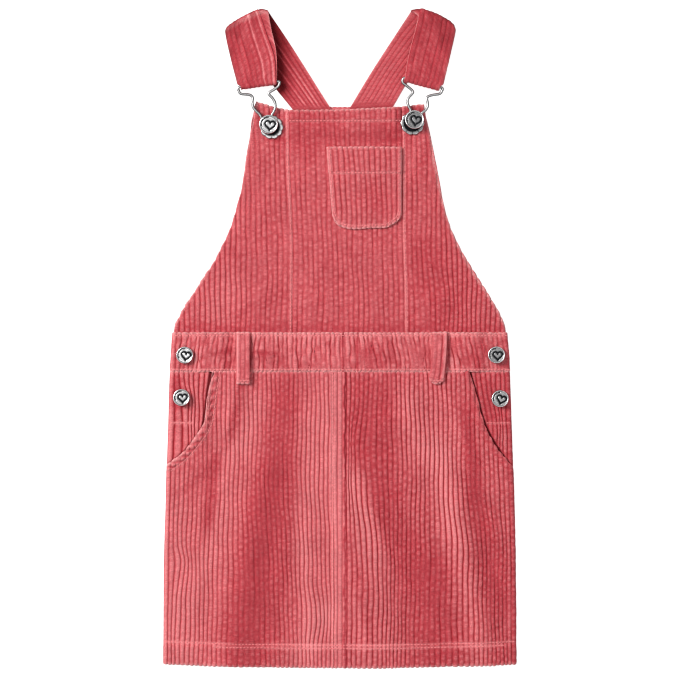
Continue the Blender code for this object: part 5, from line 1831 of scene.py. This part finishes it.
def make_strap(which, seed):
    strap = STRAPS[which]
    wales = STRAP_WALES + 1
    wale = wale_columns(0.0, wales, wales)[1]
    rows = strap_rows(strap, wale)
    middles = np.array([row[0] for row in rows])
    ribs_up = np.array([row[3] for row in rows])
    ribs_down = np.array([row[4] for row in rows])
    sink = STRAP_RIB * (RIB_DEPTH / RIB_CREST - 1.0)
    upper = []
    lower = []
    for middle, normal, thick, rib_up, rib_down in rows:
        drop = np.where(wale > STRAP_WALES, STRIP_DROP * rib_down, 0.0)
        half = thick[:, None] / 2
        upper.append(middle + normal * (half - sink * rib_up[:, None]))
        lower.append(middle - normal * (half - sink * rib_down[:, None] - drop[:, None]))
    steps = np.linalg.norm(np.diff(middles, axis=0), axis=-1)
    along = np.concatenate((np.zeros((1, len(wale))), np.cumsum(steps, axis=0)))
    number = np.broadcast_to(wale, along.shape)
    # pale edges of the strap: wear, and a painted highlight
    edge = np.minimum(wale, wales - wale) * WALE_PITCH
    worn = np.broadcast_to(hump(edge, PALE_EDGE_WIDTH), along.shape)
    x, y, z = np.moveaxis(middles, -1, 0)
    at_top = y > STRAP_TOP_Y
    # the back part: painted shadow beside the front part, painted shade just over the bib, and painted pale
    # ridges
    shade = -STRAP_SHADE[which] * hump(line_distance(x, y, strap.front_inner), STRAP_SHADE_WIDTH)
    for ridge in STRAP_BACK_RIDGES[which]:
        shade = shade + 0.35 * hump(wale - ridge, 0.2)
    nap = shade * ribs_up - 0.1 - 0.4 * fall(0.0, 9.0, y - bib_top_at(x))
    # the front part: painted light and shade from edge to edge, painted highlights as pale ridges, and a
    # random mottle
    inward = number / wales
    if which == "left":
        front = mix(-0.3, 0.0, inward)
        for ridge in STRAP_RIDGES:
            front = front + 0.5 * hump(wale - ridge, 0.16)
        # a painted highlight along the top of the fold, laid on the pale edge mark
        turning = ease(*FOLD_HIGHLIGHT_FROM, z) * fall(*FOLD_HIGHLIGHT_TO, z)
        worn = np.maximum(worn, 0.9 * turning * at_top)
    else:
        front = -0.2 - 0.25 * ease(225.0, 300.0, y) * (1.0 - inward)
        front = front + 0.25 * hump(wales - wale, 0.4)
    mottle = 0.13 * drift(seed, np.floor(number), along, 6.0)
    mottle = mottle + 0.09 * drift(seed + 3, np.floor(number / 3), along, 14.0)
    # a painted dark line of shade where the fold is farthest out
    outermost = hump(z - STRAP_LOW_Z - STRAP_BEND_R, 1.7) * at_top
    nap = nap + (front + mottle) * ribs_down - 0.9 * outermost
    scale = (STRAP_RIB + sink) / RIB_DEPTH
    marks = {
        "wale": number,
        "along": along,
        "rib": STRAP_BACK_RIB[which] * ribs_up * scale,
        "worn": worn,
        "nap": nap,
        "clear": level(STRAP_CLEAR, along),
    }
    front_marks = {"rib": STRAP_FRONT_RIB * ribs_down * scale, "clear": level(STRAP_FRONT_CLEAR, along)}
    # the rows run up the back, so the columns are turned round for the faces to point outwards
    marks, front_marks = ({mark: grid[:, ::-1] for mark, grid in one.items()} for one in (marks, front_marks))
    upper = np.array(upper)[:, ::-1]
    lower = np.array(lower)[:, ::-1]
    made = shell(f"strap_{which}", upper, lower, list(range(len(wale))), marks, front_marks)
    width = float(np.mean(np.linalg.norm(middles[:, -1] - middles[:, 0], axis=-1)))
    dress(made, f"strap_{which}", (width * MM, float(np.mean(along[-1])) * MM, None))


# Metal


def smooth_loop(points, count):
    """Count points spaced evenly along a closed smooth curve through the given points."""
    a, b, c, d = (np.roll(points, 1 - k, axis=0)[:, None] for k in range(4))
    t = (np.arange(12) / 12)[:, None]
    bend = a * (-t + 2 * t**2 - t**3) + b * (2 - 5 * t**2 + 3 * t**3)
    fine = ((bend + c * (t + 4 * t**2 - 3 * t**3) + d * (t**3 - t**2)) / 2).reshape(-1, 3)
    fine = np.concatenate((fine, fine[:1]))
    lengths = np.concatenate(([0.0], np.cumsum(np.linalg.norm(np.diff(fine, axis=0), axis=1))))
    places = np.arange(count) * lengths[-1] / count
    return np.stack([np.interp(places, lengths, axis) for axis in fine.T], -1)


def buckle_loop(which):
    """The closed middle line of a wire buckle."""
    strap = STRAPS[which]
    start = np.array(strap.end_outer)
    end = np.array(strap.end_inner)
    along, beyond = ways(start, end, strap.side)
    back = beyond * (WIRE_R + LAYER_GAP + STRAP_THICK + STRAP_RIB)
    bar = (end + along * BAR_OVERHANG_INNER, mix(start, end, 0.67), mix(start, end, 0.33))
    bar = [(*(point - back), BAR_Z) for point in (*bar, start - along * BAR_OVERHANG_OUTER)]
    x, y, _ = BIB_CAPS[which].place
    turns = np.radians(np.linspace(KEYHOLE_FROM, KEYHOLE_TO, KEYHOLE_STEPS + 1))
    keyhole_x = x - strap.side * KEYHOLE_R * np.cos(turns)
    keyhole_y = y + KEYHOLE_RISE + KEYHOLE_R * np.sin(turns)
    keyhole = np.stack((keyhole_x, keyhole_y, level(WIRE_Z, turns)), -1)
    legs = BUCKLE_LEGS[which]
    return smooth_loop(np.concatenate((bar, legs["outer"], keyhole, legs["inner"][::-1])), WIRE_POINTS)


def metal_piece(made, name, node=None):
    made.name = name
    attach(made, "root")
    if node:
        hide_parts(node)


def make_buckle(which):
    metal = bpy.context.scene.pinafore_metal
    name = f"buckle_{which}_wire"
    wire = line_object(name, [buckle_loop(which)], closed=True)
    made = run_tree(wire, "wire", {"Radius": metal.wire_radius, "Material": silver()})
    metal_piece(made, name, f"buckle_{which}")


# Cap of a button from the axis down its outside: (share of the radius, height over the underside, patina in
# the groove and painted shade on the underside)
CAP_RINGS = (
    (0.04, 1.9, 0), (0.10, 1.9, 0), (0.17, 1.9, 0), (0.24, 1.9, 0), (0.31, 1.9, 0), (0.38, 1.89, 0),
    (0.45, 1.89, 0), (0.52, 1.88, 0), (0.58, 1.87, 0), (0.62, 1.86, 0.05), (0.66, 1.82, 0.5),
    (0.70, 1.64, 0.9), (0.75, 1.6, 1), (0.80, 1.64, 1), (0.835, 1.8, 0.7), (0.86, 2.2, 0.1),
    (0.885, 2.4, 0), (0.92, 2.45, 0), (0.955, 2.38, 0), (0.985, 2, 0.25), (1, 1.4, 0.7),
    (0.985, 0.7, 0.5), (0.95, 0.12, 0.8), (0.90, 0, 1),
)
CAP_SIDES = 72
# The marked arc of a cap's face lies between these turns, in degrees
ARC_START = 80.0
ARC_END = 215.0
# The heart stands off the middle by these shares of the radius
HEART_X = 0.16
HEART_Y = -0.13
HEART_SIZE = 0.54
HEART_LINE = 1.25
HEART_DEPTH = 0.45
FACE_HEIGHT = 1.86
# Shares of the radius: where the face ends, where the groove ends and the rim starts, and the beads
FACE_END = 0.66
GROOVE_END = 0.84
RIM_START = 0.86
BEAD_RING = 0.765
BEAD_R = 0.035
BEAD_Z = 1.66
# The groove fades in over this many degrees at its ends, and the beads start this far in
ARC_FADE = 12.0
BEAD_INSET = 10.0


def heart_line(size):
    """A plain heart, point down, as a closed line of points about its middle."""
    line = []
    for i in range(61):
        turn = 2.0 * math.pi * i / 60
        x = 16.0 * math.sin(turn) ** 3
        y = 13.0 * math.cos(turn) - 5.0 * math.cos(2 * turn) - 2.0 * math.cos(3 * turn) - math.cos(4 * turn)
        line.append((size * x / 16.0, size * (y + 2.0) / 16.0))
    return line


def turned_piece(name, node, rings, ends, hollow):
    """Metal turned about an upright axis: rings of points from the top down, both ends, and their marks."""
    sides = len(rings[0])
    top = len(rings) * sides
    faces = []
    for k in range(sides):
        nxt = (k + 1) % sides
        faces.append([top, k, nxt])
        faces.append([top + 1, top - sides + nxt, top - sides + k])
        for a in range(0, top - sides, sides):
            b = a + sides
            faces.append([a + k, b + k, b + nxt, a + nxt])
    made = mesh_object(name, np.concatenate((*rings, ends)), faces, {"hollow": np.concatenate(hollow)})
    made.data.materials.append(silver())
    metal_piece(made, name, node)


def make_cap(name, node, cap, radius, neck_r, neck):
    """A button cap with a raised rim, a plain heart and a beaded arc cut into its face, and a neck."""
    x0, y0, foot = cap.place
    rings = [(share * radius, neck + height, dark) for share, height, dark in CAP_RINGS]
    # the neck under the cap is dark with painted shade
    rings += [(neck_r, neck, 1.0), (neck_r, 0.0, 1.0)]
    turns = np.arange(CAP_SIDES) * 2 * np.pi / CAP_SIDES
    points = []
    hollow = []
    heart = heart_line(HEART_SIZE * radius)
    degrees = np.degrees(turns)
    in_arc = ease(ARC_START, ARC_START + ARC_FADE, degrees) * fall(ARC_END - ARC_FADE, ARC_END, degrees)
    cos, sin = math.cos(cap.tilt), math.sin(cap.tilt)
    for r, z, dark in rings:
        x = r * np.cos(turns)
        y = r * np.sin(turns)
        cut = np.zeros_like(x)
        high = np.full_like(x, z)
        dark = np.full_like(x, dark)
        if r < GROOVE_END * radius and z > neck + 1.0:
            if r > FACE_END * radius:
                high = mix(neck + FACE_HEIGHT, z, in_arc)
                dark = dark * in_arc
            u = (x - HEART_X * radius) * cos + (y - HEART_Y * radius) * sin
            v = -(x - HEART_X * radius) * sin + (y - HEART_Y * radius) * cos
            cut = fall(0.5 * HEART_LINE, HEART_LINE, line_distance(u, v, heart))
        slope = (cap.lean[0] * x + cap.lean[1] * y) * (z > 0.0)
        points.append(np.stack((x0 + x, y0 + y, foot + high + slope - HEART_DEPTH * cut), -1))
        hollow.append(np.maximum(np.maximum(dark, cut), cap.dull * (r < RIM_START * radius)))
    ends = ([x0, y0, foot + rings[0][1]], [x0, y0, foot])
    turned_piece(name, node, points, ends, (*hollow, (0.0, 1.0)))
    values = {
        "Count": bpy.context.scene.pinafore_metal.bead_count,
        "Ring Radius": BEAD_RING * radius * MM,
        "Bead Radius": BEAD_R * radius * MM,
        "Start": math.radians(ARC_START + BEAD_INSET),
        "Sweep": math.radians(ARC_END - ARC_START - 2 * BEAD_INSET),
        "Place": (x0 * MM, y0 * MM, (foot + neck + BEAD_Z) * MM),
        "Material": silver(),
    }
    ring = link(f"{name}_beads", bpy.data.meshes.new(f"{name}_beads"))
    metal_piece(run_tree(ring, "beads", values), f"{name}_beads")


# Rings of the scalloped base from its hole out and under: (share of the radius, height, and patina with
# painted shade under the cap and on the underside)
BASE_RINGS = (
    (0.42, 1.2, 1), (0.68, 1, 1), (0.75, 1, 0.7), (0.79, 1.15, 0.05), (0.83, 1.2, 0), (0.92, 1.2, 0),
    (0.965, 1.1, 0), (1, 0.7, 0.5), (0.99, 0.3, 0.9), (0.95, 0, 1),
)
BASE_SIDES = 120
BASE_DULL = {"left": 0.08, "right": 0.5}


def make_base(which):
    """A flat washer with a scalloped, rolled rim under the cap."""
    x0, y0 = BIB_BASE[which]
    turns = np.arange(BASE_SIDES) * 2 * np.pi / BASE_SIDES
    petal = BASE_SCALLOP * np.abs(np.cos(BASE_PETALS * turns / 2))
    notch = (1.0 - petal / BASE_SCALLOP) ** 4
    points = []
    hollow = []
    for share, height, dark in BASE_RINGS:
        r = share * (BASE_R + petal * ease(0.6, 0.95, share))
        z = np.full_like(turns, BASE_Z + height)
        points.append(np.stack((x0 + r * np.cos(turns), y0 + r * np.sin(turns), z), -1))
        dull = BASE_DULL[which] * (share < 0.95)
        hollow.append(np.clip(dark + dull + 0.6 * notch * (share > 0.75), 0.0, 1.0))
    ends = ([x0, y0, BASE_Z + BASE_THICK], [x0, y0, BASE_Z])
    turned_piece(f"button_base_{which}_metal", f"button_base_{which}", points, ends, (*hollow, (1.0, 1.0)))


# Stage

FLOOR_HALF = 12.0
# The camera hangs over this place, as high as the width that it sees asks, and a little more for the dress
CAMERA_AIM = (0.000138, -0.002254)
VIEW_WIDTH = 0.6256
CAMERA_EXTRA = 0.004
# Lights: name, place, size and colour
LIGHTS = (
    ("key", (-2.6, 1.4, 2.55), 1.5, (1.0, 0.985, 0.97)),
    ("fill", (2.2, -1.4, 3.2), 3.0, (0.97, 0.985, 1.0)),
    ("card", (-0.1, 0.05, 3.4), 1.3, (1.0, 1.0, 1.0)),
)
# Light all round, from the horizon up
SKY = ((0.16, 0.16, 0.17, 1.0), (1.0, 1.0, 1.0, 1.0))
# The paper's colour wavers down to this share
PAPER_SHADE = 0.985


def area_light(name, place, size, power, colour):
    """A square light aimed at the middle of the dress."""
    data = bpy.data.lights.new(name, "AREA")
    data.shape = "RECTANGLE"
    data.size = size
    data.size_y = size
    data.energy = power
    data.color = colour
    made = link(name, data)
    made.location = place
    made.rotation_euler = (-Vector(place)).to_track_quat("-Z", "Y").to_euler()


def make_stage():
    stage = bpy.context.scene.pinafore_stage
    mesh = bpy.data.meshes.new("floor")
    half = FLOOR_HALF
    corners = [(-half, -half, 0.0), (half, -half, 0.0), (half, half, 0.0), (-half, half, 0.0)]
    mesh.from_pydata(corners, [], [(0, 1, 2, 3)])
    floor = link("floor", mesh)
    paper, wires, shader = new_material(
        "White paper",
        Roughness=0.9,
        Specular_IOR_Level=0.1,
        Emission_Color=(1.0, 1.0, 1.0, 1.0),
        Emission_Strength=stage.floor_glow,
    )
    tone = wires.noise(wires.node("ShaderNodeTexCoord").outputs["Object"], 2.0, scale=3.0)
    pale = opaque(stage.floor_colour)
    wires.put(shader.inputs["Base Color"], wires.blend(tone, pale, opaque(stage.floor_colour, PAPER_SHADE)))
    mesh.materials.append(paper)
    world = bpy.data.worlds.new("studio")
    world.use_nodes = True
    wires = Wires(world.node_tree)
    up = wires.height_of(wires.node("ShaderNodeTexCoord").outputs["Generated"])
    sky = wires.blend(wires.span(up, 0.0, 1.0), *SKY)
    background = world.node_tree.nodes["Background"]
    wires.put(background.inputs["Color"], sky)
    background.inputs["Strength"].default_value = stage.dome
    scene = bpy.context.scene
    scene.world = world
    for name, place, size, tint in LIGHTS:
        area_light(name, place, size, getattr(stage, f"{name}_power"), tint)
    camera = bpy.data.cameras.new("camera")
    camera.sensor_width = 36.0
    camera.lens = 100.0
    camera.clip_end = 20.0
    made = link("camera", camera)
    made.location = (*CAMERA_AIM, VIEW_WIDTH * camera.lens / camera.sensor_width + CAMERA_EXTRA)
    scene.camera = made
    scene.view_settings.view_transform = "Standard"
    scene.cycles.filter_width = 1.2


# Settings


def length(name, description, default):
    return FloatProperty(name=name, description=description, default=default, unit="LENGTH", precision=5)


def factor(name, description, default):
    return FloatProperty(name=name, description=description, default=default, subtype="FACTOR")


def power(name, description, default):
    return FloatProperty(name=name, description=description, default=default, unit="POWER")


def colour(name, description, *default):
    return FloatVectorProperty(name=name, description=description, default=default, subtype="COLOR")


class ClothSettings(bpy.types.PropertyGroup):
    """Corduroy of the dress."""

    rib_height: length("Rib height", "Height of a wale over its valley", 0.00115)
    roundness: FloatProperty(name="Roundness", description="Higher gives a flatter wale", default=2.8)
    clump_length: length("Clump length", "Length of a clump of pile", 0.0066)
    clump_amount: factor("Clump amount", "How much the clumps swell", 0.48)
    valley_fill: factor("Valley fill", "How far pile may fill a valley", 0.55)
    # Crest and valley colours hold the pile's own tone, with painted highlight on the crests and painted
    # shade in the valleys; deep is painted shade; the worn colour also lays painted sheen and highlights
    crest_colour: colour("Crest", "Pile on the crests", 0.72, 0.16, 0.177)
    body_colour: colour("Body", "Pile on the flanks", 0.52, 0.055, 0.07)
    valley_colour: colour("Valley", "Ground between the wales", 0.28, 0.01, 0.016)
    deep_colour: colour("Deep", "Pile that lies away from the light", 0.54, 0.04, 0.058)
    worn_colour: colour("Worn", "Thin pile on edges and beside stitches", 0.83, 0.37, 0.37)


class SewingSettings(bpy.types.PropertyGroup):
    """Thread and stitches."""

    stitch_length: length("Stitch", "Length of a stitch", 0.0027)
    stitch_gap: length("Gap", "Space between stitches", 0.0004)
    thread_radius: length("Thread radius", "Half the thread's thickness", 0.00042)
    thread_colour: colour("Thread", "Colour of the thread", 0.98, 0.27, 0.29)


class MetalSettings(bpy.types.PropertyGroup):
    """Buttons and buckles."""

    wire_radius: length("Wire radius", "Half the wire's thickness", 0.00125)
    bead_count: IntProperty(name="Beads", description="Beads in the arc on a button", default=12, min=3)
    metal_colour: colour("Metal", "Colour of the polished metal", 0.84, 0.84, 0.845)
    # The patina colour also lays the painted shade under the buttons and the wire's painted dark sides
    patina_colour: colour("Patina", "Colour in the hollows", 0.012, 0.013, 0.016)
    polish: factor("Polish", "Roughness of the rims", 0.2)


class StageSettings(bpy.types.PropertyGroup):
    """Floor and light."""

    key_power: power("Key", "Power of the key light", 152.0)
    fill_power: power("Fill", "Power of the fill light", 20.0)
    card_power: power("Card", "Power of the small light overhead", 7.0)
    dome: FloatProperty(name="Dome", description="Strength of the light all round", default=0.42)
    floor_glow: FloatProperty(name="Floor glow", description="Light from below the floor", default=0.85)
    floor_colour: colour("Floor", "Colour of the floor", 0.45, 0.45, 0.45)


# Operators


class PINAFORE_OT_back(bpy.types.Operator):
    """Make the back panels of the dress"""

    bl_idname = "pinafore.back"
    bl_label = "Back"

    def execute(self, context):
        make_back()
        return {"FINISHED"}


class PINAFORE_OT_bib(bpy.types.Operator):
    """Make the three panels of the bib"""

    bl_idname = "pinafore.bib"
    bl_label = "Bib"

    def execute(self, context):
        make_bib()
        return {"FINISHED"}


class PINAFORE_OT_chest_pocket(bpy.types.Operator):
    """Make the pocket on the bib"""

    bl_idname = "pinafore.chest_pocket"
    bl_label = "Chest pocket"

    def execute(self, context):
        make_chest_pocket()
        return {"FINISHED"}


class PINAFORE_OT_waistband(bpy.types.Operator):
    """Make the front waistband"""

    bl_idname = "pinafore.waistband"
    bl_label = "Waistband"

    def execute(self, context):
        make_waistband()
        return {"FINISHED"}


class PINAFORE_OT_skirt(bpy.types.Operator):
    """Make the two halves of the skirt front"""

    bl_idname = "pinafore.skirt"
    bl_label = "Skirt front"

    def execute(self, context):
        make_skirt_front()
        return {"FINISHED"}


class PINAFORE_OT_pocket_facings(bpy.types.Operator):
    """Make the facings of the hip pockets"""

    bl_idname = "pinafore.pocket_facings"
    bl_label = "Pocket facings"

    def execute(self, context):
        make_pocket_facings()
        return {"FINISHED"}


class PINAFORE_OT_belt_loops(bpy.types.Operator):
    """Make the two belt loops"""

    bl_idname = "pinafore.belt_loops"
    bl_label = "Belt loops"

    def execute(self, context):
        make_belt_loops()
        return {"FINISHED"}


class PINAFORE_OT_straps(bpy.types.Operator):
    """Make the two folded straps"""

    bl_idname = "pinafore.straps"
    bl_label = "Straps"

    def execute(self, context):
        for seed, which in enumerate(STRAPS, 81):
            make_strap(which, seed)
        return {"FINISHED"}


class PINAFORE_OT_buckles(bpy.types.Operator):
    """Make the two wire buckles"""

    bl_idname = "pinafore.buckles"
    bl_label = "Buckles"

    def execute(self, context):
        for which in STRAPS:
            make_buckle(which)
        return {"FINISHED"}


class PINAFORE_OT_buttons(bpy.types.Operator):
    """Make the bib and side buttons"""

    bl_idname = "pinafore.buttons"
    bl_label = "Buttons"

    def execute(self, context):
        for which, cap in BIB_CAPS.items():
            make_base(which)
            name = f"bib_button_{which}"
            make_cap(f"{name}_cap", name, cap, BIB_CAP_R, NECK_R, BIB_CAP_Z - BIB_CAP_FOOT)
        for name, cap in SIDE_CAPS.items():
            make_cap(f"{name}_cap", name, cap, SIDE_CAP_R, SIDE_NECK_R, SIDE_NECK)
        return {"FINISHED"}


class PINAFORE_OT_stage(bpy.types.Operator):
    """Make the floor, the lights and the camera"""

    bl_idname = "pinafore.stage"
    bl_label = "Stage"

    def execute(self, context):
        make_stage()
        return {"FINISHED"}


class PINAFORE_PT_panel(bpy.types.Panel):
    """Settings and steps of the dress"""

    bl_idname = "PINAFORE_PT_panel"
    bl_label = "Pinafore Dress"
    bl_space_type = "VIEW_3D"
    bl_region_type = "UI"
    bl_category = "Pinafore"

    def draw(self, context):
        layout = self.layout
        for group in SETTINGS:
            box = layout.box()
            settings = getattr(context.scene, group)
            for key in settings.bl_rna.properties.keys():
                if key not in ("rna_type", "name"):
                    box.prop(settings, key)
        for step in STEPS:
            layout.operator(step.bl_idname)


SETTINGS = {
    "pinafore_cloth": ClothSettings,
    "pinafore_sewing": SewingSettings,
    "pinafore_metal": MetalSettings,
    "pinafore_stage": StageSettings,
}
STEPS = (
    PINAFORE_OT_back,
    PINAFORE_OT_bib,
    PINAFORE_OT_chest_pocket,
    PINAFORE_OT_waistband,
    PINAFORE_OT_skirt,
    PINAFORE_OT_pocket_facings,
    PINAFORE_OT_belt_loops,
    PINAFORE_OT_straps,
    PINAFORE_OT_buckles,
    PINAFORE_OT_buttons,
    PINAFORE_OT_stage,
)


def register():
    for group, settings in SETTINGS.items():
        bpy.utils.register_class(settings)
        setattr(bpy.types.Scene, group, PointerProperty(type=settings))
    for step in STEPS:
        bpy.utils.register_class(step)
    bpy.utils.register_class(PINAFORE_PT_panel)


def unregister():
    bpy.utils.unregister_class(PINAFORE_PT_panel)
    for step in reversed(STEPS):
        bpy.utils.unregister_class(step)
    for group, settings in SETTINGS.items():
        delattr(bpy.types.Scene, group)
        bpy.utils.unregister_class(settings)


def main():
    register()
    for step in STEPS:
        area, name = step.bl_idname.split(".")
        getattr(getattr(bpy.ops, area), name)()


if __name__ == "__main__":
    main()
